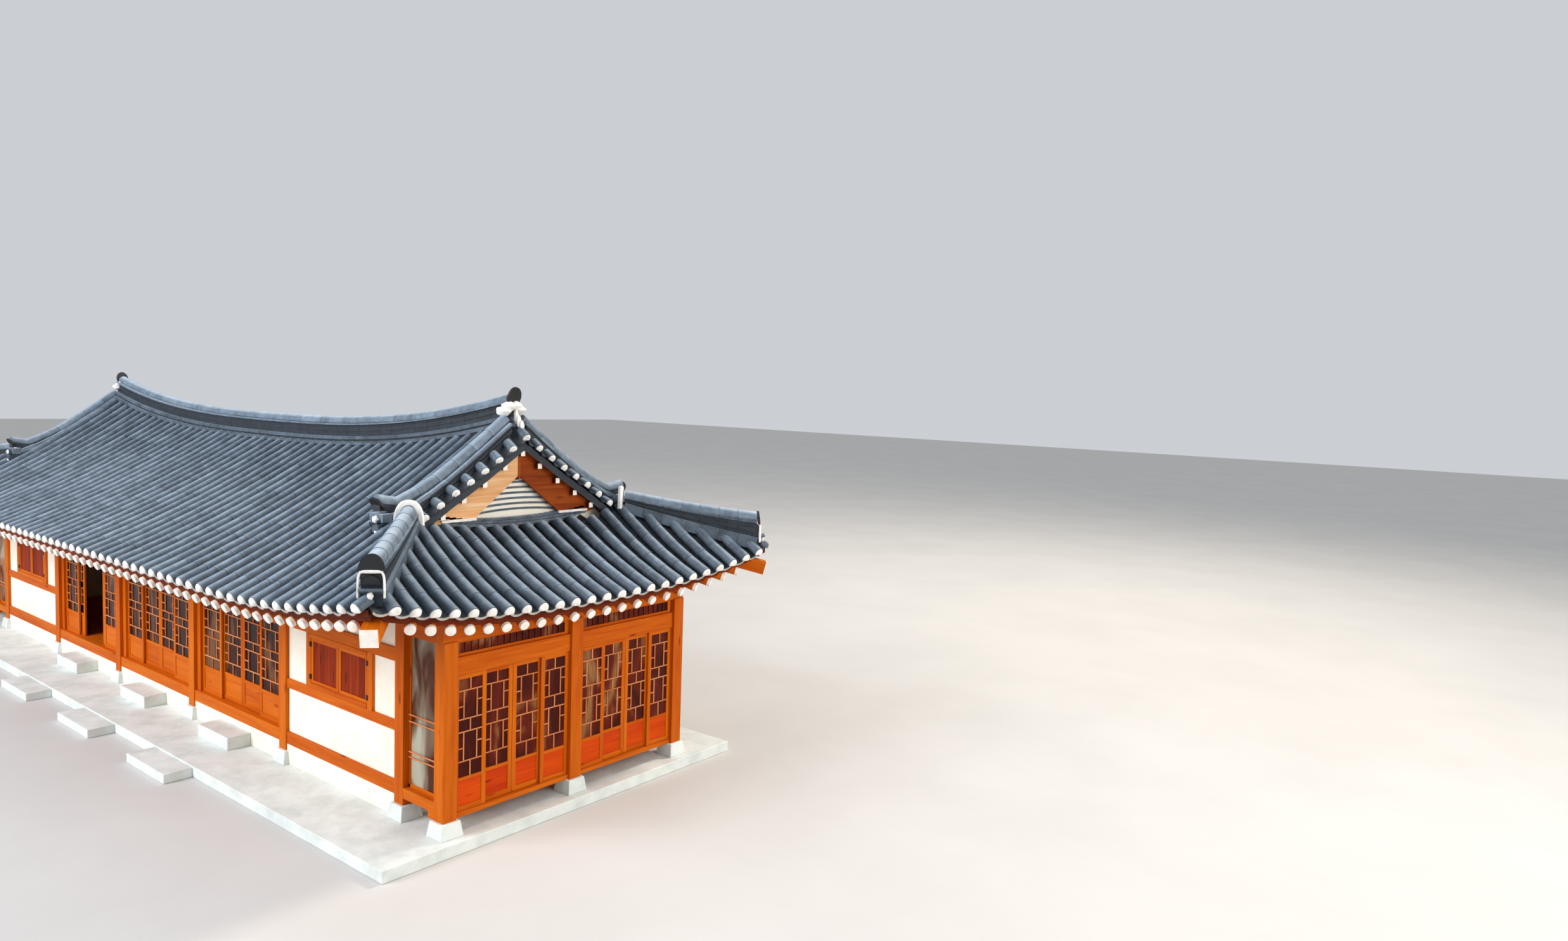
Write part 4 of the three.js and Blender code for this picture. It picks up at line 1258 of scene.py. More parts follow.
@dataclass
class Ridges:
    """The main ridge, the descending ridges along the rakes and the hip ridges."""

    palette: Palette
    descent_x: float = ROOF.ridge_half
    descent_ends: tuple[float, float] = (2.16, 0.13)
    hip_ends: tuple[float, float] = (0.88, 0.02)
    hip_growth: float = 3.1
    joint_at: tuple[float, float, float] = (7.37, -1.885, 3.95)
    joint_side: Span = (0.676, 0.737)
    ridge_inset: float = 0.04
    ridge_rise: float = 0.02

    def main(self) -> None:
        """Lays the main ridge."""
        palette = self.palette
        # The nearly black courses are painted shade in the ridge's wall
        run = RidgeRun(palette.crown, crown=0.095, crown_at=0.29, bottom=-0.24, courses=[
            (0.4, -0.1, palette.stack),
            (0.45, -0.045, palette.tile),
            (0.34, -0.01, palette.stack),
            (0.38, 0.045, palette.tile),
            (0.24, 0.09, palette.stack),
            (0.215, 0.13, palette.stack),
            (0.235, 0.17, palette.stack),
            (0.215, 0.205, palette.stack),
            (0.235, 0.235, palette.stack),
            (0.3, 0.26, palette.crown),
            (0.17, 0.288, palette.stack),
        ])
        reach = ROOF.ridge_half - self.ridge_inset
        piece = Piece("main_ridge_tiles")
        line = [(Vector((x, 0, ROOF.apex_z(x) + self.ridge_rise)), 0.0) for x in spread(-reach, reach, 0.25)]
        run.lay(piece, line)
        self.ridge_ends(piece)
        piece.make(replaces=["main_ridge"])

    def lumps(self, piece: Piece, base: Matrix, sizes: Sequence[tuple[float, ...]]) -> None:
        """Throws lumps of mortar: the place from a base and the half size of each, six numbers."""
        places = [base @ move(*row[:3]) @ stretch(*row[3:]) for row in sizes]
        piece.stamp(LUMP, places, self.palette.mortar)

    def ridge_ends(self, piece: Piece) -> None:
        """Closes both ends of the main ridge with mortar and a raised end tile.

        Args:
            piece: Takes the shapes.
        """
        end_plate = plate(0.115, -0.06, 0.03, 24)
        base = Vector((ROOF.ridge_half - 0.02, 0, ROOF.apex_z(ROOF.ridge_half) + self.ridge_rise))
        lean = Matrix.Rotation(math.radians(16), 4, "Y") @ Matrix.Rotation(-math.pi / 2, 4, "Z")
        stand = move(*(base + Vector((0.03, 0, 0.33)))) @ lean @ stretch(1, 1, 1.3)
        for end in TURNS.values():
            piece.stamp(end_plate, [end @ stand], self.palette.end_tile)
            self.lumps(piece, end @ move(*base), [
                (0.0, 0.04, 0.2, 0.11, 0.1, 0.075),
                (0.0, -0.06, 0.19, 0.11, 0.1, 0.075),
                (0.0, -0.15, 0.12, 0.12, 0.09, 0.075),
                (0.0, 0.12, 0.14, 0.11, 0.09, 0.07),
                (0.1, 0.0, 0.04, 0.035, 0.035, 0.1),
                (0.17, 0.0, -0.03, 0.03, 0.03, 0.09),
                (0.24, 0.0, -0.09, 0.025, 0.028, 0.08),
            ])

    def corner(self, node: str, turn: Matrix) -> None:
        """Lays a descending ridge and the hip ridge that leaves it.

        Args:
            node: The part's node it stands for.
            turn: Places it on its corner of the house, and may mirror it.
        """
        palette = self.palette
        piece = Piece(f"{node}_tiles", turn)
        # In both ridges the nearly black courses are painted shade in the wall
        descent = RidgeRun(palette.crown, crown=0.09, crown_at=0.12, bottom=-0.26, courses=[
            (0.34, -0.08, palette.stack),
            (0.29, -0.045, palette.stack),
            (0.315, -0.01, palette.stack),
            (0.28, 0.02, palette.stack),
            (0.3, 0.045, palette.stack),
            (0.31, 0.08, palette.crown),
            (0.17, 0.118, palette.stack),
        ])
        line = []
        # The wall grows towards its foot, and its last tiles sweep upwards
        for y in spread(*self.descent_ends, 0.08):
            growth = 1.5 * max(0.0, y - 1.2) ** 1.5 + 20 * max(0.0, y - 1.9) ** 2
            line.append((Vector((self.descent_x, -y, ROOF.main_z(self.descent_x, y))), growth))
        descent.lay(piece, line)
        hip = RidgeRun(palette.crown, crown=0.105, crown_at=0.1, bottom=-0.12, courses=[
            (0.3, 0.02, palette.tile),
            (0.21, 0.04, palette.stack),
            (0.25, 0.06, palette.stack),
            (0.21, 0.08, palette.stack),
            (0.26, 0.093, palette.tile),
        ])
        hip_line = []
        for share in spread(*self.hip_ends, 0.07):
            x, y = ROOF.hip_point(ROOF.hip_share * (1 - share))
            hip_line.append((Vector((x, -y, ROOF.main_z(x, y))), self.hip_growth * share))
        hip.lay(piece, hip_line)
        self.end_tiles(piece, hip_line)
        piece.make(replaces=[node])

    def end_tiles(self, piece: Piece, hip_line: RidgeLine) -> None:
        """Closes the lower ends of both ridges and the joint between them.

        Args:
            piece: Takes the shapes.
            hip_line: The hip ridge's line, from its lower end.
        """
        palette = self.palette
        reach = self.descent_ends[0]
        foot = Vector((self.descent_x, -reach, ROOF.main_z(self.descent_x, reach)))
        # The foot of the descending ridge: a raised end plate over two tile ends
        lean = Matrix.Rotation(math.radians(38), 4, "X")
        stand = move(*(foot + Vector((0, 0.02, 0.38)))) @ lean
        piece.stamp(plate(0.14, -0.05, 0.028, 24), [stand], palette.end_tile)
        stub = plate(0.075, -0.03, 0.16)
        for shift in ((0.02, -0.04, 0.2), (0.05, -0.04, 0.08)):
            piece.stamp(stub, [move(*(foot + Vector(shift)))], palette.tile)
        self.lumps(piece, move(*foot), [
            (0.04, -0.03, 0.22, 0.06, 0.035, 0.05),
            (0.06, -0.02, 0.05, 0.05, 0.03, 0.03),
        ])
        # The foot of the hip ridge: a plate over an arch of mortar, with a tile end inside
        (low, _), (next_up, _) = hip_line[:2]
        level = (next_up - low) * Vector((1, 1, 0))
        out = between(low, low + level.normalized(), RidgeRun.side_of(low, next_up))
        nod = Matrix.Rotation(math.radians(-8), 4, "X")
        raised = move(0, -0.06, 0.29) @ nod @ stretch(1, 1, 1.4)
        piece.stamp(plate(0.145, 0.0, 0.035, 28), [out @ raised], palette.end_tile)
        piece.stamp(arch(0.14, 0.3, 0.026, 0.04, 0.35), [out @ move(0, -0.055, 0)], palette.mortar)
        piece.boxes([(around(0, 0.125), (-0.06, -0.03), (0.275, 0.3))], palette.mortar, out)
        # The block inside the arch: nearly black, painted shade
        piece.boxes([(around(0, 0.115), (-0.03, 0.06), (-0.1, 0.26))], palette.stack, out)
        piece.stamp(plate(0.1, 0.0, 0.06), [out @ move(0, -0.07, 0.15)], palette.end_tile)
        slope = Matrix.Rotation(math.radians(-26), 4, "X")
        piece.boxes([(around(0, 0.12), (-0.17, 0.0), (0.02, 0.05))], palette.tile, out @ slope)
        piece.stamp(LUMP, [out @ move(0, -0.1, 0.03) @ stretch(0.035, 0.03, 0.05)], palette.mortar)
        # The thick arch of mortar where the hip ridge leaves the descending one
        side = Vector((*self.joint_side, 0))
        bed = Matrix([(side.x, -side.y, 0, 0), (side.y, side.x, 0, 0), (0, 0, 1, 0), (0, 0, 0, 1)])
        joint = arch(0.155, 0.31, 0.085, 0.09, 0.8)
        piece.stamp(joint, [move(*self.joint_at) @ bed], palette.mortar)

    def build(self) -> None:
        """Lays every ridge."""
        self.main()
        self.corner("front_right_ridge", TURNS[1])
        self.corner("back_left_ridge", TURNS[-1])
        self.corner("front_left_ridge", MIRROR)
        self.corner("back_right_ridge", TURNS[-1] @ MIRROR)


def arch(reach: float, top: float, thick: float, deep: float, corner: float, count: int = 20) -> Template:
    """Bends a bar of mortar into a standing arch over the origin, across X.

    Args:
        reach: Half its width between the middles of its legs.
        top: Height of the middle of its crown.
        thick: Across the bar.
        deep: Of the bar along Y.
        corner: 1 for a half-round arch, less for a flat top with rounded corners.
        count: Steps along it.

    Returns:
        The shape.
    """
    section = ((-1, 0), (-0.6, 0.8), (0.6, 0.8), (1, 0), (0.6, -0.8), (-0.6, -0.8), (-1, 0))

    def middle(j: float) -> Vector:
        """Gives the bar's middle at station j."""
        angle = math.pi * (1 - min(max(j, 0.0), count) / count)
        share = math.cos(angle)
        x = math.copysign(abs(share) ** corner, share) * reach
        return Vector((x, 0, top * math.sin(angle) ** corner))

    def point(i: int, j: int) -> Vector:
        """Gives corner i of the bar's section at station j."""
        along = (middle(j + 0.5) - middle(j - 0.5)).normalized()
        out = Vector((-along.z, 0, along.x))
        across, back = section[i]
        return middle(j) + out * (across * thick / 2) + Vector((0, back * deep / 2, 0))

    return mapped(len(section) - 1, count, point, closed=True)


LUMP = lump()


@dataclass
class Eaves:
    """Rafter logs with white ends, eave boards and hip rafters."""

    palette: Palette
    pitch: float = 0.29
    front_steps: int = 30
    side_steps: int = 10
    radius: float = 0.064
    drop: float = 0.28
    inset: float = 0.12
    inner_y: float = 1.9
    inner_x: float = 7.5
    sink: float = 0.03
    side_sink: float = 0.044
    # Past fan_x the front logs turn towards a pole, and stop at the hip rafter or inside the eave beam
    fan_x: float = 7.1
    fan_pole_y: float = 0.6
    fan_inner_y: float = 1.98
    fan_sink: float = 0.075
    hip_gap: float = 0.1
    side_pole: Span = (6.6, 0.9)
    collar: float = 0.045
    paint_over: float = 1.02
    board_inset: Span = (0.15, 0.21)
    board_z: Span = (-0.235, -0.152)
    board_steps: int = 60
    board_reach: float = 0.955
    hip_section: Span = (0.19, 0.21)
    hip_drop: float = 0.294
    hip_shares: Span = (0.06, 0.9)

    def front_log(self, x: float) -> tuple[Vector, Vector]:
        """Gives the ends of a front rafter.

        Args:
            x: Place of its outer end.

        Returns:
            The outer end and the inner one.
        """
        y = ROOF.eave_y_at(x) - self.inset
        outer = Vector((x, -y, ROOF.main_z(x, y) - self.drop))
        inner_x, inner_y, sink = x, self.inner_y, self.sink
        if abs(x) > self.fan_x:
            to_pole = (abs(x) - self.fan_x, y - self.fan_pole_y)
            slant = to_pole[1] * ROOF.hip_slope - to_pole[0]
            room = ROOF.hip_x(y) - abs(x) - self.hip_gap
            share = min(room / slant, (y - self.fan_inner_y) / to_pole[1])
            inner_x, inner_y = math.copysign(abs(x) - share * to_pole[0], x), y - share * to_pole[1]
            sink = self.fan_sink
        return outer, Vector((inner_x, -inner_y, ROOF.main_z(inner_x, inner_y) - self.drop - sink))

    def side_log(self, y: float) -> tuple[Vector, Vector]:
        """Gives the ends of a skirt rafter.

        Args:
            y: Place of its outer end.

        Returns:
            The outer end and the inner one.
        """
        x = ROOF.eave_x_at(y) - self.inset
        outer = Vector((x, y, ROOF.skirt_height(x, y) - self.drop))
        pole_x, pole_y = self.side_pole
        share = (x - self.inner_x) / (x - pole_x)
        inner = y - share * (y - math.copysign(pole_y, y)) if abs(y) > pole_y else y
        inner_z = ROOF.skirt_height(self.inner_x, inner) - self.drop - self.side_sink
        return outer, Vector((self.inner_x, inner, inner_z))

    def logs(self, piece: Piece, ends: Sequence[tuple[Vector, Vector]]) -> None:
        """Stamps the logs and their painted ends.

        Args:
            piece: Takes the shapes.
            ends: Outer and inner end of each log.
        """
        sizes = np.array([[1, (b - a).length, 1] for a, b in ends])
        places = [between(a, b, UP.cross(b - a), self.radius) for a, b in ends]
        piece.stamp(log_shape(), places, self.palette.pine, sizes)
        painted = self.radius * self.paint_over
        caps, collars = [], []
        for a, b in ends:
            along = (b - a).normalized()
            caps.append(between(a, a + along, UP.cross(along)) @ stretch(painted, painted, painted))
            collars.append(between(a, a + along * self.collar, UP.cross(b - a), painted))
        piece.stamp(dome(0.12), caps, self.palette.paint)
        piece.stamp(log_shape(), collars, self.palette.paint)

    def board(self, side: str, place: SlopePoint, run: float, reach: float, turn: Matrix) -> None:
        """Bends an eave board along the edge of a slope.

        Args:
            side: Name of the side of the house.
            place: Gives the slope's points.
            run: Length of the slope.
            reach: Share across at which the board ends.
            turn: Places it on its side of the house.
        """
        near, far = self.board_inset
        low, high = self.board_z
        section = [(near, high), (near, low), (far, low), (far, high), (near, high)]

        def point(i: int, j: int) -> Vector:
            """Gives corner i of the section at station j."""
            inset, height = section[i]
            return place(inset / run, height, (2 * j / self.board_steps - 1) * reach)

        piece = Piece(f"{side}_eave_board", turn)
        # The board's dark brown is painted shade under the tiles
        piece.stamp(mapped(4, self.board_steps, point, closed=True), IN_PLACE, self.palette.shade_dark_pine)
        piece.make()

    def hip(self, piece: Piece, corner: Matrix) -> None:
        """Adds a hip rafter with its white end.

        Args:
            piece: Takes the shapes.
            corner: Places it on its corner.
        """
        wide, high = self.hip_section
        ends = []
        for share in self.hip_shares:
            x, y = ROOF.hip_point(share * ROOF.hip_share)
            ends.append(Vector((x, -y, ROOF.main_z(x, y) - self.hip_drop - high / 2)))
        a, b = ends
        side = RidgeRun.side_of(b, a)
        timber = corner @ between(a, b, side) @ move(0, 0.5, 0) @ stretch(wide, 1, high)
        piece.stamp(CUBE, [timber], self.palette.pine, np.array([[wide, (b - a).length, high]]))
        cap = corner @ between(a, a + (b - a).normalized(), side)
        cap = cap @ move(0, -0.004, 0) @ stretch(wide + 0.004, 0.012, high + 0.004)
        piece.stamp(CUBE, [cap], self.palette.paint)

    @staticmethod
    def main_point(t: float, h: float, s: float) -> Vector:
        """Gives a point at the front slope's edge, closer to its hips than the deck comes."""
        return ROOF.main_point(t, h, s, 0.002)

    def build(self) -> None:
        """Builds the eaves of all four sides."""
        main = [self.front_log(i * self.pitch) for i in range(-self.front_steps, self.front_steps + 1)]
        skirt = [self.side_log(i * self.pitch) for i in range(-self.side_steps, self.side_steps + 1)]
        for name, side in LONG_SIDES:
            turn = TURNS[side]
            piece = Piece(f"{name}_rafter_logs", turn)
            self.logs(piece, main)
            self.hip(piece, TURNS[1])
            self.hip(piece, MIRROR)
            piece.make(replaces=[f"{name}_rafters"])
            self.board(name, self.main_point, ROOF.eave_y, 1.0, turn)
        for name, side in ENDS:
            turn = TURNS[side]
            piece = Piece(f"{name}_rafter_logs", turn)
            self.logs(piece, skirt)
            piece.make(replaces=[f"{name}_rafters"])
            self.board(name, ROOF.skirt_point, ROOF.eave_x - ROOF.hip_top[0], self.board_reach, turn)


@dataclass
class Gables:
    """Rake tiles, purlin ends, bargeboards and the striped panel of each gable."""

    palette: Palette
    pitch: float = 0.235
    rake_half_steps: int = 15
    rake_out: float = 0.02
    rake_in: float = 0.13
    purlin_x: Span = (7.08, 7.292)
    purlin_half: Span = (0.034, 0.036)
    purlin_paint: float = 0.008
    purlins: Sequence[Span] = ((0.0, 4.855), (0.31, 4.66), (0.65, 4.43), (0.99, 4.23), (1.32, 4.02))
    board_x: Span = (7.172, 7.21)
    board_y: Span = (0.004, 1.45)
    board_steps: int = 14
    board_top: float = 0.204
    board_depth: float = 0.475
    board_widening: float = 0.06
    board_clear: float = 0.03
    face: float = 7.11
    foot_z: float = 3.93
    foot_half: float = 1.26
    row_count: int = 6
    row_half: float = 0.86
    row_shrink: float = 0.125
    row_rise: float = 0.078
    row_start: float = 0.09
    row_sag: float = 0.06
    row_steps: int = 16

    def rake(self, side: int, name: str) -> None:
        """Lays the short tiles over a rake, with their mortar plugs and the purlin ends below.

        Args:
            side: 1 for the right gable, -1 for the left.
            name: Of the side.
        """
        palette = self.palette
        piece = Piece(f"{name}_rake_tiles", TURNS[side])
        cover = half_round(0.07, -0.03, [(0.0, 1.03), (0.15, 1.03), (0.2, 1.0), (1.0, 0.97)])
        channel = trough(0.2, 0.04, 0.018)
        plug = half_round(0.062, -0.034, [(-0.026, 0.55), (-0.016, 0.86), (-0.004, 1.0), (0.02, 1.0)], 18)
        low_x, high_x = ROOF.rake_x + self.rake_out, ROOF.rake_x - self.rake_in
        for half in range(-self.rake_half_steps, self.rake_half_steps + 1):
            y = half * self.pitch / 2
            outer = Vector((low_x, y, ROOF.rake_z(ROOF.rake_x, y)))
            inner = Vector((high_x, y, ROOF.rake_z(high_x, y)))
            step = ROOF.rake_z(ROOF.rake_x, y + 0.05) - ROOF.rake_z(ROOF.rake_x, y - 0.05)
            across = Vector((0, 0.1, step if half else 0)).normalized()
            if half % 2:
                piece.stamp(channel, [between(outer, inner, across)], palette.channel)
            else:
                piece.stamp(cover, [between(outer, inner, across)], palette.tile)
                level = outer + (inner - outer).normalized()
                piece.stamp(plug, [between(outer, level, across)], palette.mortar)
        ends = [(math.copysign(y, sign), z) for y, z in self.purlins for sign in (-1, 1) if y or sign > 0]
        wide, high = self.purlin_half
        tip = self.purlin_x[1]
        timbers = [(self.purlin_x, around(y, wide), around(z, high)) for y, z in ends]
        paint_x = (tip, tip + self.purlin_paint)
        painted = [(paint_x, around(y, wide + 0.002), around(z, high + 0.002)) for y, z in ends]
        # The purlin ends: dark brown, painted shade under the rake
        piece.boxes(timbers, palette.shade_dark_pine)
        piece.boxes(painted, palette.paint)
        piece.make()

    def boards(self, side: int, name: str) -> None:
        """Bends the two bargeboards under the rakes, narrower at the top, with the pendant between them.

        Args:
            side: 1 for the right gable, -1 for the left.
            name: Of the side.
        """
        palette = self.palette
        piece = Piece(f"{name}_barge_planks", TURNS[side])
        start, end = self.board_y
        back, front = self.board_x
        for sign in (-1, 1):

            def point(i: int, j: int, sign: int = sign) -> Vector:
                """Gives corner i of the section at station j."""
                y = start + (end - start) * j / self.board_steps
                top = ROOF.rake_z(7.18, y) - self.board_top
                low = top - self.board_depth - self.board_widening * y
                low = max(low, ROOF.skirt_z(7.2, y) + self.board_clear)
                across, up = SECTION[i]
                return Vector((front if across > 0 else back, sign * y, top if up else low))

            plank = mapped(4, self.board_steps, point, closed=True)
            # The front plank is drawn pale, painted sunlight; the back plank and the pendant red-brown,
            # painted shadow of the rake
            piece.stamp(plank, IN_PLACE, palette.sunlit_pine if sign * side < 0 else palette.rake_shaded_pine)
            foot = ordered(sign * 0.74, sign * 1.3)
            piece.boxes([((7.2, 7.24), foot, (self.foot_z, self.foot_z + 0.035))], palette.mortar)
        piece.boxes([((7.19, 7.22), around(0, 0.02), (4.48, 4.8))], palette.rake_shaded_pine)
        piece.make(replaces=[f"{name}_bargeboards"])

    def panel(self, side: int, name: str) -> None:
        """Lays curved rows of tile in the white mortar of the gable panel, and its foot.

        Args:
            side: 1 for the right gable, -1 for the left.
            name: Of the side.
        """
        palette = self.palette
        piece = Piece(f"{name}_gable_rows", TURNS[side])
        strip = ((0, 0), (0.014, 0.004), (0.014, 0.03), (0, 0.034), (0, 0))
        for k in range(self.row_count):
            half = self.row_half - k * self.row_shrink
            z = self.foot_z + self.row_start + k * self.row_rise

            def point(i: int, j: int, half: float = half, z: float = z) -> Vector:
                """Gives corner i of the strip at station j."""
                y = (2 * j / self.row_steps - 1) * half
                dx, dz = strip[i]
                return Vector((self.face + dx, y, z - self.row_sag * (y / self.row_half) ** 2 + dz))

            piece.stamp(mapped(4, self.row_steps, point, closed=True), IN_PLACE, palette.tile)
        stand = move(self.face + 0.02, 0, self.foot_z + 0.53) @ Matrix.Rotation(math.pi / 2, 4, "Z")
        piece.stamp(plate(0.07, 0.0, 0.02, 20), [stand @ stretch(1, 1, 0.7)], palette.end_tile)
        # The foot's courses, each on the one before it: how far they stand out, their top and their finish;
        # the nearly black ones are painted shade
        courses = (
            (0.13, 0.035, palette.tile),
            (0.1, 0.045, palette.stack),
            (0.115, 0.075, palette.tile),
            (0.09, 0.083, palette.stack),
            (0.1, 0.115, palette.tile),
        )
        ys = spread(-self.foot_half, self.foot_half, 0.1)
        low = 0.0
        for reach, high, finish in courses:
            depth = (self.face, self.face + reach)
            for a, b in zip(ys, ys[1:]):
                base = ROOF.skirt_z(7.15, (a + b) / 2) + 0.015
                piece.boxes([(depth, (a, b), (base + low, base + high))], finish)
            low = high
        piece.make()

    def build(self) -> None:
        """Builds both gables."""
        for name, side in ENDS:
            self.rake(side, name)
            self.boards(side, name)
            self.panel(side, name)


@dataclass
class TimberFrame:
    """Posts, sills, rails, lintels and beams."""

    palette: Palette
    wall_face: float = 0.046
    sill_half: float = 1.415
    lining: float = 0.13
    proud: float = 0.006
    beam_stations: Sequence[float] = (0, 1.5, 3.0, 4.2, 5.2, 6.0, 6.85, 7.2, 7.675)
    beam_under: float = 0.39
    hip_x: float = 7.1
    hip_under: float = 0.578
    end_stations: Sequence[float] = (-1, -0.875, -0.75, -0.5, -0.25, 0, 0.25, 0.5, 0.75, 0.875, 1)
    end_beam_half: float = 0.075
    end_beam_under: float = 0.352
    inner_beam_under: float = 0.4094
    inner_half: float = 1.9397
    light_z: Span = (0.5903, END_BEAM_Z)
    rail_z: Sequence[float] = (1.19, 1.1, 0.7, 0.63)

    def planted(self, x: float, window: bool) -> list[Box]:
        """Gives the rails planted on a plastered bay.

        Args:
            x: Middle of the bay.
            window: Adds the window's lining.

        Returns:
            The timbers.
        """
        wide = around(x, (BAY - POST) / 2)
        depth = (-HALF_DEPTH - BEAM / 2, -HALF_DEPTH - self.wall_face)
        out = [(wide, depth, RAIL_Z), (wide, depth, LINTEL_Z)]
        if window:
            proud = (depth[0] - self.proud, depth[1])
            for sign in (-1, 1):
                jamb = ordered(x + sign * WINDOW_HALF, x + sign * (WINDOW_HALF + self.lining))
                out.append((jamb, depth, (RAIL_Z[1], LINTEL_Z[0])))
            out.append((around(x, WINDOW_HALF), proud, (RAIL_Z[1], WINDOW_Z[0])))
            out.append((around(x, WINDOW_HALF), proud, (WINDOW_Z[1], LINTEL_Z[0])))
        return out

    def eave_beam(self, piece: Piece) -> None:
        """Bends the beam that fills up to the rafters.

        Args:
            piece: Takes the shape.
        """
        xs = [-x for x in reversed(self.beam_stations[1:])] + list(self.beam_stations)

        def point(i: int, j: int) -> Vector:
            """Gives corner i of the section at station j."""
            across, top = SECTION[i]
            x, y = xs[j], HALF_DEPTH - across * BEAM / 2
            under = self.hip_under if abs(x) > self.hip_x else self.beam_under
            return Vector((x, -y, ROOF.main_z(x, y) - under if top else HEAD_Z))

        piece.stamp(mapped(4, len(xs) - 1, point, closed=True), IN_PLACE, self.palette.pine, long_axis=0)

    def long_side(self, name: str, turn: Matrix, plastered: Sequence[int]) -> None:
        """Builds the frame of the front or the back.

        Args:
            name: Of the side.
            turn: Places it on its side of the house.
            plastered: The bays with planted rails.
        """
        pine = self.palette.pine
        piece = Piece(f"{name}_timbers", turn)
        depth = around(-HALF_DEPTH, POST / 2)
        piece.boxes([(around(x, POST / 2), depth, (FOOT_Z, HEAD_Z + 0.02)) for x in POST_LINES], pine)
        sill = around(-HALF_DEPTH, BEAM / 2)
        piece.boxes([(around(x, self.sill_half), sill, SILL_Z) for x in BAY_CENTRES], pine)
        for bay in plastered:
            piece.boxes(self.planted(BAY_CENTRES[bay], bay in (0, 4)), pine)
        self.eave_beam(piece)
        piece.make(replaces=[f"{name}_frame"], bevel=0.006)

    def end_beam(self, piece: Piece, x: float, reach: float, low: float, under: float) -> None:
        """Bends a beam that runs across under the skirt's rafters.

        Args:
            piece: Takes the shape.
            x: Its middle.
            reach: Half its length.
            low: Height of its underside.
            under: Its top below the tile centres.
        """
        ys = [share * reach for share in self.end_stations]

        def point(i: int, j: int) -> Vector:
            """Gives corner i of the section at station j."""
            across, top = SECTION[i]
            side_x = x + across * self.end_beam_half
            return Vector((side_x, ys[j], ROOF.skirt_height(side_x, ys[j]) - under if top else low))

        piece.stamp(mapped(4, len(ys) - 1, point, closed=True), IN_PLACE, self.palette.pine)

    def end(self, name: str, turn: Matrix) -> None:
        """Builds the frame of one gable end.

        Args:
            name: Of the side.
            turn: Places it at its end of the house.
        """
        pine = self.palette.pine
        piece = Piece(f"{name}_end_timbers", turn)
        half = POST / 2
        lines = (-HALF_DEPTH, 0, HALF_DEPTH)
        posts = [(around(END_X, half), around(y, half), (FOOT_Z, END_BEAM_Z + 0.01)) for y in lines]
        posts.append((around(BODY_X, half), around(0, half), (FOOT_Z, HEAD_Z + 0.02)))
        piece.boxes(posts, pine)
        inner = around(BODY_X, BEAM / 2)
        sills = [(inner, ordered(sign * half, sign * self.inner_half), SILL_Z) for sign in (-1, 1)]
        piece.boxes(sills, pine)
        tie_x, tie_z = (BODY_X + half, END_X - half), (END_BEAM_Z, END_BEAM_Z + 0.15)
        piece.boxes([(tie_x, around(y, self.end_beam_half), tie_z) for y in lines], pine)
        self.end_beam(piece, END_X, HALF_DEPTH + half, END_BEAM_Z, self.end_beam_under)
        self.end_beam(piece, BODY_X, self.inner_half, HEAD_Z, self.inner_beam_under)
        for sign in (-1, 1):
            self.side_light(piece, sign)
        piece.make(replaces=[f"{name}_end_frame"], bevel=0.006)

    def side_light(self, piece: Piece, sign: int) -> None:
        """Adds the fixed glazed light between the body and a veranda post, with its two pairs of rails.

        Args:
            piece: Takes the shapes.
            sign: -1 for the front, 1 for the back.
        """
        palette = self.palette
        left, right = BODY_X + POST / 2 + GAP, END_X - POST / 2
        y = sign * HALF_DEPTH
        low, high = self.light_z
        depth = around(y, 0.016)
        piece.boxes([
            ((left, left + 0.04), depth, (low, high)),
            ((right - 0.04, right), depth, (low, high)),
            ((left, right), depth, (low, low + 0.05)),
            ((left, right), depth, (high - 0.05, high)),
        ], palette.pine)
        pane = ((left + 0.03, right - 0.03), around(y, 0.003), (low + 0.04, high - 0.04))
        piece.boxes([pane], palette.side_glass)
        rail_y = around(y + sign * 0.022, 0.008)
        rails = [((left, right), rail_y, (FOOT_Z + z, FOOT_Z + z + 0.016)) for z in self.rail_z]
        # The rails' paler finish is a painted highlight
        piece.boxes(rails, palette.lattice)
        edge = ordered(y - sign * 0.03, y + sign * 0.097)
        piece.boxes([((left, right), edge, (0.455, 0.594))], palette.pine)
        stub = ordered(y + sign * 0.02, y + sign * 0.095)
        piece.boxes([((8.225, 8.354), stub, (FOOT_Z + 0.001, 0.455))], palette.pine)

    def build(self) -> None:
        """Builds the whole frame."""
        self.long_side("front", TURNS[1], (0, 4))
        self.long_side("back", TURNS[-1], range(5))
        for name, side in ENDS:
            self.end(name, TURNS[side])


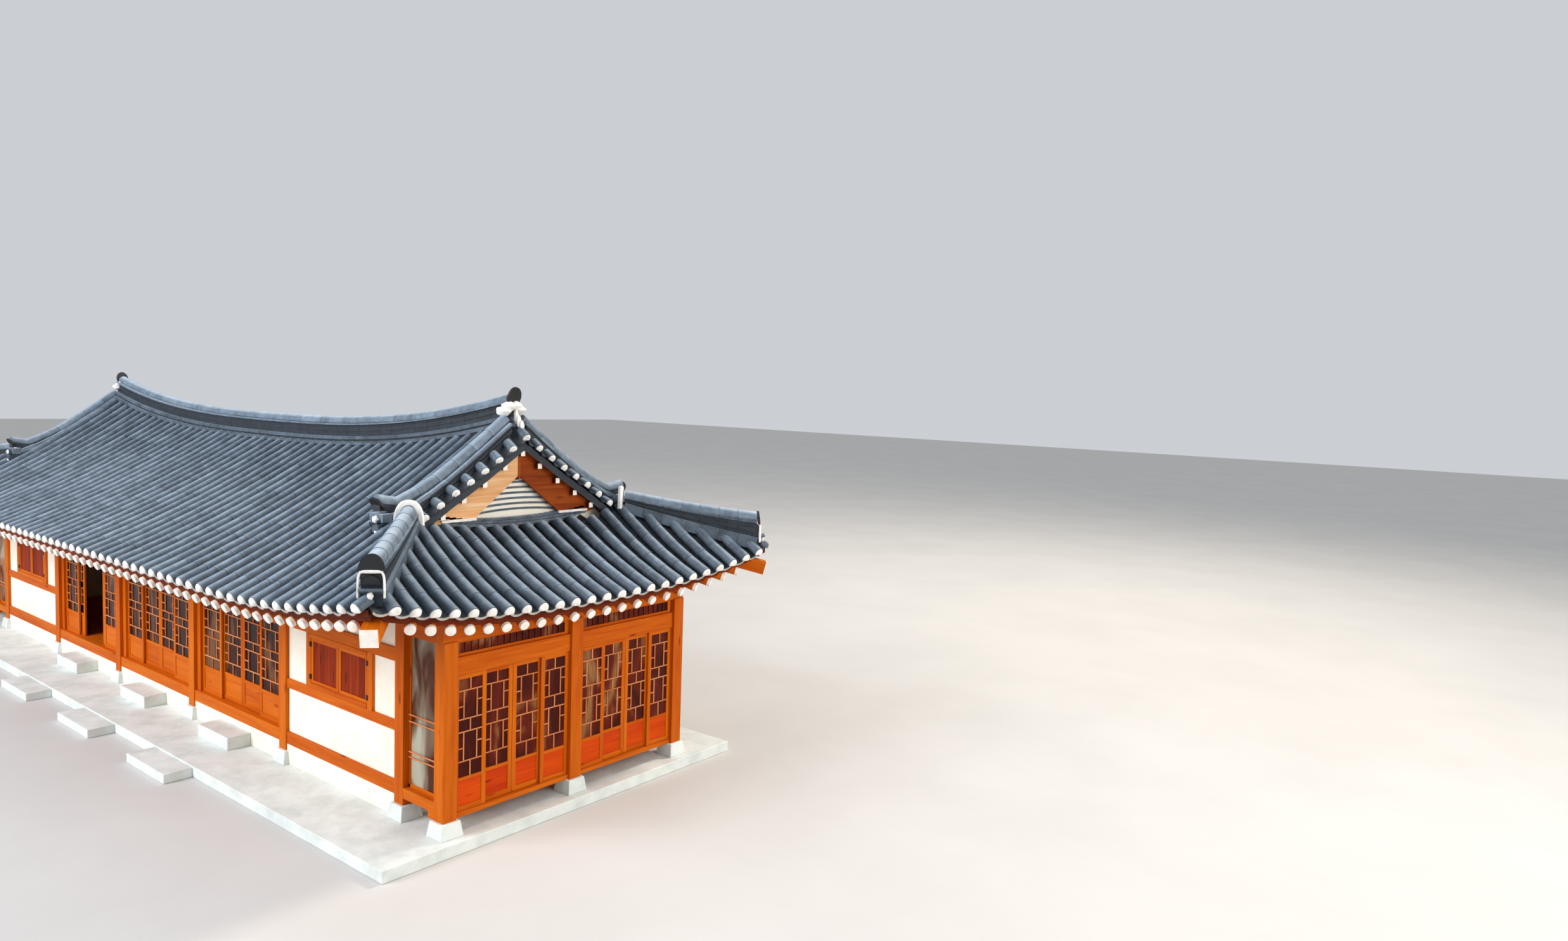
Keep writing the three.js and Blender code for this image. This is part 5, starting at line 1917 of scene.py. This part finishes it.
@dataclass
class Shutters:
    """Plank shutters in a lighter frame, with iron hinges."""

    palette: Palette
    half: float = WINDOW_HALF - GAP
    low: float = WINDOW_Z[0] + GAP
    high: float = WINDOW_Z[1] - GAP
    front: float = -HALF_DEPTH - 0.07
    back: float = -HALF_DEPTH - 0.03
    stile: float = 0.055
    rail: float = 0.045
    plank: float = 0.085
    joint: float = 0.0015

    def pair(self, x: float, turn: Matrix, name: str) -> None:
        """Builds the closed pair of one window.

        Args:
            x: Middle of the window.
            turn: Places it on its side of the house.
            name: Of the window's node.
        """
        palette = self.palette
        piece = Piece(f"{name}_planks", turn)
        front, low, high = self.front, self.low, self.high
        depth = (front - 0.006, self.back)
        for sign in (-1, 1):
            outer = x + sign * self.half
            left, right = ordered(x + sign * 0.003, outer)
            inner = (left + self.stile, right - self.stile)
            piece.boxes([
                ((left, inner[0]), depth, (low, high)),
                ((inner[1], right), depth, (low, high)),
                (inner, depth, (high - self.rail, high)),
                (inner, depth, (low, low + self.rail)),
            ], palette.pine)
            edges = spread(*inner, self.plank)
            plank_y, plank_z = (front + 0.008, self.back - 0.004), (low + self.rail, high - self.rail)
            planks = [((a + self.joint, b - self.joint), plank_y, plank_z) for a, b in zip(edges, edges[1:])]
            piece.boxes(planks, palette.shutter)
            hinge_x = ordered(outer - sign * 0.012, outer + sign * 0.03)
            for z in (low + 0.09, high - 0.09):
                piece.boxes([(hinge_x, (front - 0.024, front - 0.006), around(z, 0.035))], palette.iron)
        piece.make(replaces=[name], bevel=0.003)

    def build(self) -> None:
        """Builds all four pairs."""
        for x, side, other in ((BAY_CENTRES[0], "left", "right"), (BAY_CENTRES[4], "right", "left")):
            self.pair(x, TURNS[1], f"front_{side}_shutters")
            self.pair(x, TURNS[-1], f"back_{other}_shutters")


@dataclass
class LatticeLeaf:
    """One glazed door leaf: stiles and rails, a wood panel below and an uneven lattice above.

    A leaf is drawn along X with its outer face towards -Y.
    """

    frame: Material
    lattice: Material
    glass: Material
    panel: Material
    stile: float = 0.062
    panel_height: float = 0.33
    mid_rail: float = 0.042
    depth: float = 0.032
    bar: float = 0.016
    tenon: float = 0.005
    putty: float = 0.004

    def add(self, piece: Piece, x: Span, track: float, z: Span) -> None:
        """Adds the leaf's timbers, bars and glass.

        Args:
            piece: Takes the shapes.
            x: Its width.
            track: The middle of its thickness.
            z: Its height.
        """
        y = around(track, self.depth / 2)
        inner = (x[0] + self.stile, x[1] - self.stile)
        panel_low = z[0] + self.stile
        panel_high = panel_low + self.panel_height
        glass_low, glass_high = panel_high + self.mid_rail, z[1] - self.stile
        piece.boxes([
            ((x[0], inner[0]), y, z),
            ((inner[1], x[1]), y, z),
            (inner, y, (z[0], panel_low)),
            (inner, y, (panel_high, glass_low)),
            (inner, y, (glass_high, z[1])),
        ], self.frame)
        wide = (inner[0] - self.tenon, inner[1] + self.tenon)
        board = (wide, around(track, 0.006), (panel_low - self.tenon, panel_high + self.tenon))
        piece.boxes([board], self.panel)
        # The bars' paler finish is a painted highlight
        piece.boxes(self.bars(inner, (glass_low, glass_high), y[0]), self.lattice)
        wide = (inner[0] - self.putty, inner[1] + self.putty)
        pane = (wide, (track + 0.001, track + 0.005), (glass_low - self.putty, glass_high + self.putty))
        piece.boxes([pane], self.glass)

    def bars(self, x: Span, z: Span, front: float) -> list[Box]:
        """Gives the lattice: wide middle panes with short side bars, between rows of two panes.

        Args:
            x: Width of the glass.
            z: Height of the glass.
            front: The bars' outer face.

        Returns:
            The bars.
        """
        width, height, half = x[1] - x[0], z[1] - z[0], self.bar / 2
        depth = (front + 0.002, front + 0.016)
        out: list[Box] = []

        def upright(share: float, top: float, low: float) -> None:
            """Adds an upright bar at a share across, between two shares down."""
            reach = (z[1] - low * height, z[1] - top * height)
            out.append((around(x[0] + share * width, half), depth, reach))

        def level(left: float, right: float, down: float) -> None:
            """Adds a level bar at a share down, between two shares across."""
            reach = (x[0] + left * width, x[0] + right * width)
            out.append((reach, depth, around(z[1] - down * height, half)))

        for down in (0.12, 0.41, 0.54, 0.84):
            level(0, 1, down)
        for top, low in ((0, 0.12), (0.41, 0.54), (0.84, 1)):
            upright(0.5, top, low)
        for top, low in ((0.12, 0.41), (0.54, 0.84)):
            upright(0.22, top, low)
            upright(0.78, top, low)
            level(0, 0.22, top + 0.55 * (low - top))
            level(0.78, 1, top + 0.4 * (low - top))
        return out


@dataclass
class DoorBay:
    """A bay of four leaves, two fixed and two sliding, under a latticed transom."""

    leaf: LatticeLeaf
    bars: Material
    bay: float
    jamb: float
    tracks: Span
    leaf_z: Span
    head_z: Span
    top_z: float
    frame_depth: float
    sill_z: Optional[Span] = None
    meeting_gap: float = 0.003
    overlap: float = 0.035
    rail: float = 0.035
    stile: float = 0.062
    bar_half: float = 0.005
    bar_pitch: Span = (0.1, 0.09)
    groove: float = 0.006
    runner_half: float = 0.007
    runner: float = 0.0056

    @property
    def half(self) -> float:
        """Half the width of the bay's frame."""
        return self.bay / 2 - GAP

    @property
    def middle(self) -> float:
        """The plane between both tracks."""
        return sum(self.tracks) / 2

    def spans(self) -> tuple[Span, Span]:
        """Gives the widths of the left outer and the left inner leaf."""
        clear = self.bay - 2 * self.jamb
        width = (clear / 2 + self.overlap - self.meeting_gap) / 2
        return (-clear / 2, -clear / 2 + width), (-self.meeting_gap - width, -self.meeting_gap)

    def transom(self, piece: Piece) -> None:
        """Adds the small square lattice over the head.

        Args:
            piece: Takes the shapes.
        """
        half, stile, rail = self.half, self.stile, self.rail
        y = around(self.middle, 0.016)
        low, high = self.head_z[1], self.top_z
        inner, clear = (-half + stile, half - stile), (low + rail, high - rail)
        piece.boxes([
            ((-half, inner[0]), y, (low, high)),
            ((inner[1], half), y, (low, high)),
            (inner, y, (low, clear[0])),
            (inner, y, (clear[1], high)),
        ], self.leaf.frame)
        pitch_x, pitch_z = self.bar_pitch
        upright_y, level_y = (y[0] + 0.002, y[0] + 0.014), (y[0] + 0.003, y[0] + 0.013)
        bars = [(around(x, self.bar_half), upright_y, clear) for x in spread(*inner, pitch_x)[1:-1]]
        bars += [(inner, level_y, around(z, self.bar_half)) for z in spread(*clear, pitch_z)[1:-1]]
        piece.boxes(bars, self.bars)
        pane_y = (self.middle + 0.001, self.middle + 0.005)
        piece.boxes([(around(0, half - 0.05), pane_y, (low + 0.03, high - 0.03))], self.leaf.glass)

    def frame(self, name: str, node: str, turn: Matrix, all_fixed: bool = False) -> None:
        """Builds the fixed part of the bay.

        Args:
            name: Of the piece.
            node: The part's node it stands for.
            turn: Places it in its wall.
            all_fixed: Adds the inner leaves too.
        """
        piece = Piece(name, turn)
        half = self.half
        y = around(self.middle, self.frame_depth / 2)
        outer, inner = self.spans()
        z = (self.leaf_z[0] - self.groove + GAP, self.head_z[0])
        timbers = [(around(0, half), y, self.head_z)]
        if self.sill_z:
            timbers.append((around(0, half), y, self.sill_z))
        if self.jamb:
            timbers += [((-half, outer[0]), y, z), ((-outer[0], half), y, z)]
        piece.boxes(timbers, self.leaf.frame)
        edge = max(outer[0], -half)
        self.leaf.add(piece, (edge, outer[1]), self.tracks[0], z)
        self.leaf.add(piece, (-outer[1], -edge), self.tracks[0], z)
        if all_fixed:
            self.leaf.add(piece, inner, self.tracks[1], z)
            self.leaf.add(piece, (-inner[1], -inner[0]), self.tracks[1], z)
        self.transom(piece)
        piece.make(replaces=[node], bevel=0.0025)

    def sliding(self, node: str, sign: int, turn: Matrix) -> None:
        """Builds one sliding leaf with the runner under it.

        Args:
            node: The part's node and body it stands for and moves with.
            sign: -1 for the left leaf, 1 for the right.
            turn: Places it in its wall.
        """
        piece = Piece(f"{node}_leaf", turn)
        _, inner = self.spans()
        x = inner if sign < 0 else (-inner[1], -inner[0])
        track, foot = self.tracks[1], self.leaf_z[0]
        self.leaf.add(piece, x, track, self.leaf_z)
        runner_x = (x[0] + self.stile, x[1] - self.stile)
        runner = (runner_x, around(track, self.runner_half), (foot - self.runner, foot))
        piece.boxes([runner], self.leaf.frame)
        piece.make(body=node, replaces=[node], bevel=0.0025)


@dataclass
class Doors:
    """All door bays of the front and the verandas."""

    palette: Palette
    open_by: float = 0.45

    def build(self) -> None:
        """Builds the front bays, the right veranda and the left veranda."""
        palette = self.palette
        front = DoorBay(
            leaf=LatticeLeaf(palette.pine, palette.lattice, palette.front_glass, palette.pine),
            # The transom bars: dark brown, painted shade under the eave
            bars=palette.shade_dark_pine,
            bay=BAY - POST,
            jamb=0.12,
            tracks=(-2.03, -1.99),
            leaf_z=(0.646, 2.214),
            head_z=LINTEL_Z,
            top_z=HEAD_Z - GAP,
            frame_depth=0.15,
        )
        for i, x in enumerate(BAY_CENTRES[1:4]):
            base = move(x, 0, 0)
            name = f"front_door_{i + 1}"
            front.frame(f"{name}_surround", f"{name}_frame", base)
            for side, sign in (("left", -1), ("right", 1)):
                # The first doorway stands open, as in the photograph
                place = base @ move(sign * self.open_by, 0, 0) if i == 0 else base
                front.sliding(f"{name}_{side}", sign, place)
        veranda = DoorBay(
            leaf=LatticeLeaf(palette.pine, palette.lattice, palette.glass, palette.panel),
            # The transom bars: dark brown, painted shade under the eave
            bars=palette.shade_dark_pine,
            bay=HALF_DEPTH - POST,
            jamb=0.0,
            tracks=around(-END_X, 0.02),
            leaf_z=(0.43, 2.184),
            head_z=(2.19, 2.425),
            top_z=END_BEAM_Z - GAP,
            frame_depth=0.12,
            sill_z=(FOOT_Z, 0.424),
        )
        for i, shift in enumerate((-HALF_DEPTH / 2, HALF_DEPTH / 2)):
            right = move(0, shift, 0) @ Matrix.Rotation(math.pi / 2, 4, "Z")
            name = f"right_veranda_door_{i + 1}"
            veranda.frame(f"{name}_surround", f"{name}_frame", right)
            for side, sign in (("left", -1), ("right", 1)):
                veranda.sliding(f"{name}_{side}", sign, right)
            left = move(0, shift, 0) @ Matrix.Rotation(-math.pi / 2, 4, "Z")
            leaves = f"left_veranda_leaves_{i + 1}"
            veranda.frame(leaves, f"left_veranda_doors_{i + 1}", left, all_fixed=True)


@dataclass
class Verandas:
    """The boarded floors of the verandas and their edge beams."""

    palette: Palette
    board: float = 0.11
    joint: float = 0.001
    half: float = 2.125
    edge_lines: Sequence[float] = (-2.09, -1.0, 1.0, 2.09)

    def build(self) -> None:
        """Lays both floors."""
        span = (BODY_X + POST / 2 + GAP, END_X - POST / 2 - GAP)
        xs = spread(*span, self.board)
        for name, side in ENDS:
            piece = Piece(f"{name}_veranda_boards", TURNS[side])
            boards = []
            for a, b in zip(xs, xs[1:]):
                boards.append(((a + self.joint, b - self.joint), around(0, self.half), (0.55, 0.59)))
            edges = [(span, around(y, 0.03), (0.53, 0.55)) for y in self.edge_lines]
            piece.boxes(boards + edges, self.palette.pine)
            piece.make(replaces=[f"{name}_veranda_floor"], bevel=0.002)


@dataclass
class Stonework:
    """The platform, its slabs, the base stones and the low foundation walls."""

    palette: Palette
    platform_half: Span = (8.755, 3.08)
    slab_y: Span = (-3.47, -3.0805)
    slab_z: Span = (0, 0.14)
    slab_xs: Sequence[float] = (-2.5, 0.32, 3.15)
    slab_half: float = 0.65
    stone_foot: float = 0.33
    stone_top: float = 0.27
    stone_height: float = 0.1997
    wall_half: float = 0.12
    wall_length: float = 1.4147
    end_wall_length: float = 0.9197
    step_y: Span = (-2.4703, -2.1203)
    step_half: float = 0.5

    def base_stone(self) -> Template:
        """Makes a base stone on the origin, wider at its foot.

        Returns:
            The shape.
        """
        corner, height = math.sqrt(2), self.stone_height
        radii = {"radius1": self.stone_foot / corner, "radius2": self.stone_top / corner}
        shape = bmesh.new()
        bmesh.ops.create_cone(shape, cap_ends=True, segments=4, depth=1, **radii)
        bmesh.ops.rotate(shape, verts=shape.verts[:], matrix=Matrix.Rotation(math.pi / 4, 3, "Z"))
        bmesh.ops.scale(shape, verts=shape.verts[:], vec=(1, 1, height))
        bmesh.ops.translate(shape, verts=shape.verts[:], vec=(0, 0, height / 2))
        return Template.of(shape)

    def build(self) -> None:
        """Builds the stonework."""
        granite = self.palette.granite
        half_x, half_y = self.platform_half
        piece = Piece("platform_stones")
        piece.boxes([(around(0, half_x), around(0, half_y), (0, PLATFORM_Z))], granite)
        piece.boxes([(around(x, self.slab_half), self.slab_y, self.slab_z) for x in self.slab_xs], granite)
        stones = []
        walls: list[Box] = []
        z = (PLATFORM_Z, SILL_Z[0] - GAP)
        for side in (-1, 1):
            stones += [(x, side * HALF_DEPTH) for x in POST_LINES]
            stones += [(side * BODY_X, 0), *((side * END_X, y) for y in (-HALF_DEPTH, 0, HALF_DEPTH))]
            y = around(side * (HALF_DEPTH - 0.04), self.wall_half)
            walls += [(around(x, self.wall_length), y, z) for x in BAY_CENTRES]
            x = around(side * (BODY_X - 0.04), self.wall_half)
            walls += [(x, around(m, self.end_wall_length), z) for m in (-HALF_DEPTH / 2, HALF_DEPTH / 2)]
        piece.stamp(self.base_stone(), [move(x, y, PLATFORM_Z) for x, y in stones], granite)
        piece.boxes(walls, self.palette.plaster)
        piece.make(replaces=["stone_platform"], bevel=0.008)
        steps = Piece("step_stones")
        step_z = (PLATFORM_Z + GAP, FOOT_Z)
        steps.boxes([(around(x, self.step_half), self.step_y, step_z) for x in BAY_CENTRES[1:4]], granite)
        steps.make(replaces=["step_block_1", "step_block_2", "step_block_3"], bevel=0.008)


@dataclass
class KeptNodes:
    """Finishes for the part's own solids that stay in view."""

    palette: Palette
    nodes: dict[str, bpy.types.Object]

    def build(self) -> None:
        """Gives each kept solid its material."""
        finishes = {name: self.palette.plaster for name in self.nodes if "wall" in name}
        finishes["room_floor"] = self.palette.floor_pine
        for name, finish in finishes.items():
            mesh = self.nodes[name].data
            mesh.materials.clear()
            mesh.materials.append(finish)
            LOG.info("%s: %s", name, finish.name)


@dataclass
class Studio:
    """A pale floor, soft light, and the camera that the photograph's lines give."""

    lens: float = 23.625
    at: tuple[float, float, float] = (19.3455, -9.5320, 5.8538)

    def floor(self) -> None:
        """Lays the floor."""
        shape = bmesh.new()
        bmesh.ops.create_grid(shape, x_segments=1, y_segments=1, size=120)
        bmesh.ops.translate(shape, verts=shape.verts[:], vec=(0, 0, -0.002))
        mesh = bpy.data.meshes.new("floor")
        shape.to_mesh(mesh)
        shape.free()
        floor = bpy.data.objects.new("floor", mesh)
        mesh.materials.append(Mineral("pale_floor", "#cbc9c6", "#c5c3c0", 3000, 20, relief=0.0005).build())
        bpy.context.collection.objects.link(floor)

    def light(self, name: str, at: Vector, aim: Vector, size: float, power: float, colour: str) -> None:
        """Hangs a square area light.

        Args:
            name: Of the light.
            at: Where it hangs.
            aim: What it points at.
            size: Of its side.
            power: In watts.
            colour: Its sRGB hex colour.
        """
        data = bpy.data.lights.new(name, "AREA")
        data.size = size
        data.energy = power
        data.color = linear(colour)[:3]
        lamp = bpy.data.objects.new(name, data)
        lamp.location = at
        lamp.rotation_euler = (aim - at).to_track_quat("-Z", "Y").to_euler()
        bpy.context.collection.objects.link(lamp)

    def camera(self) -> None:
        """Sets the camera at the photograph's place and angle."""
        data = bpy.data.cameras.new("camera")
        data.lens = self.lens
        data.sensor_width = 36.0
        data.sensor_fit = "HORIZONTAL"
        data.clip_end = 400
        eye = bpy.data.objects.new("camera", data)
        right = Vector((0.792655, 0.608675, 0.034809))
        up = Vector((-0.072983, 0.038050, 0.996607))
        back = Vector((0.605286, -0.792506, 0.074584))
        turn = Matrix([[right[i], up[i], back[i]] for i in range(3)]).to_4x4()
        eye.matrix_world = Matrix.Translation(self.at) @ turn
        bpy.context.collection.objects.link(eye)
        bpy.context.scene.camera = eye

    def build(self) -> None:
        """Builds the studio."""
        self.floor()
        middle = Vector((0, 0, 2))
        self.light("key", Vector((13, 25, 28)), middle, 5, 8000, "#fff3e2")
        self.light("fill", Vector((-2, -26, 17)), middle, 16, 9000, "#f7f9ff")
        self.light("side", Vector((30, 4, 10)), middle, 14, 2800, "#fff8f0")
        world = bpy.data.worlds.new("studio")
        bpy.context.scene.world = world
        world.use_nodes = True
        sky = world.node_tree.nodes["Background"]
        sky.inputs[0].default_value = linear("#eef2f7")
        sky.inputs[1].default_value = 0.7
        bpy.context.scene.view_settings.view_transform = "Standard"
        self.camera()


def main() -> None:
    """Builds the house in order and reports each piece."""
    logging.basicConfig(level=logging.INFO, format="%(message)s")
    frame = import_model()
    palette = Palette()
    KeptNodes(palette, frame["nodes"]).build()
    for part in (TiledSlopes, Ridges, Eaves, Gables, TimberFrame, Shutters, Doors, Verandas, Stonework):
        part(palette).build()
    Studio().build()
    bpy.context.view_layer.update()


if __name__ == "__main__":
    main()
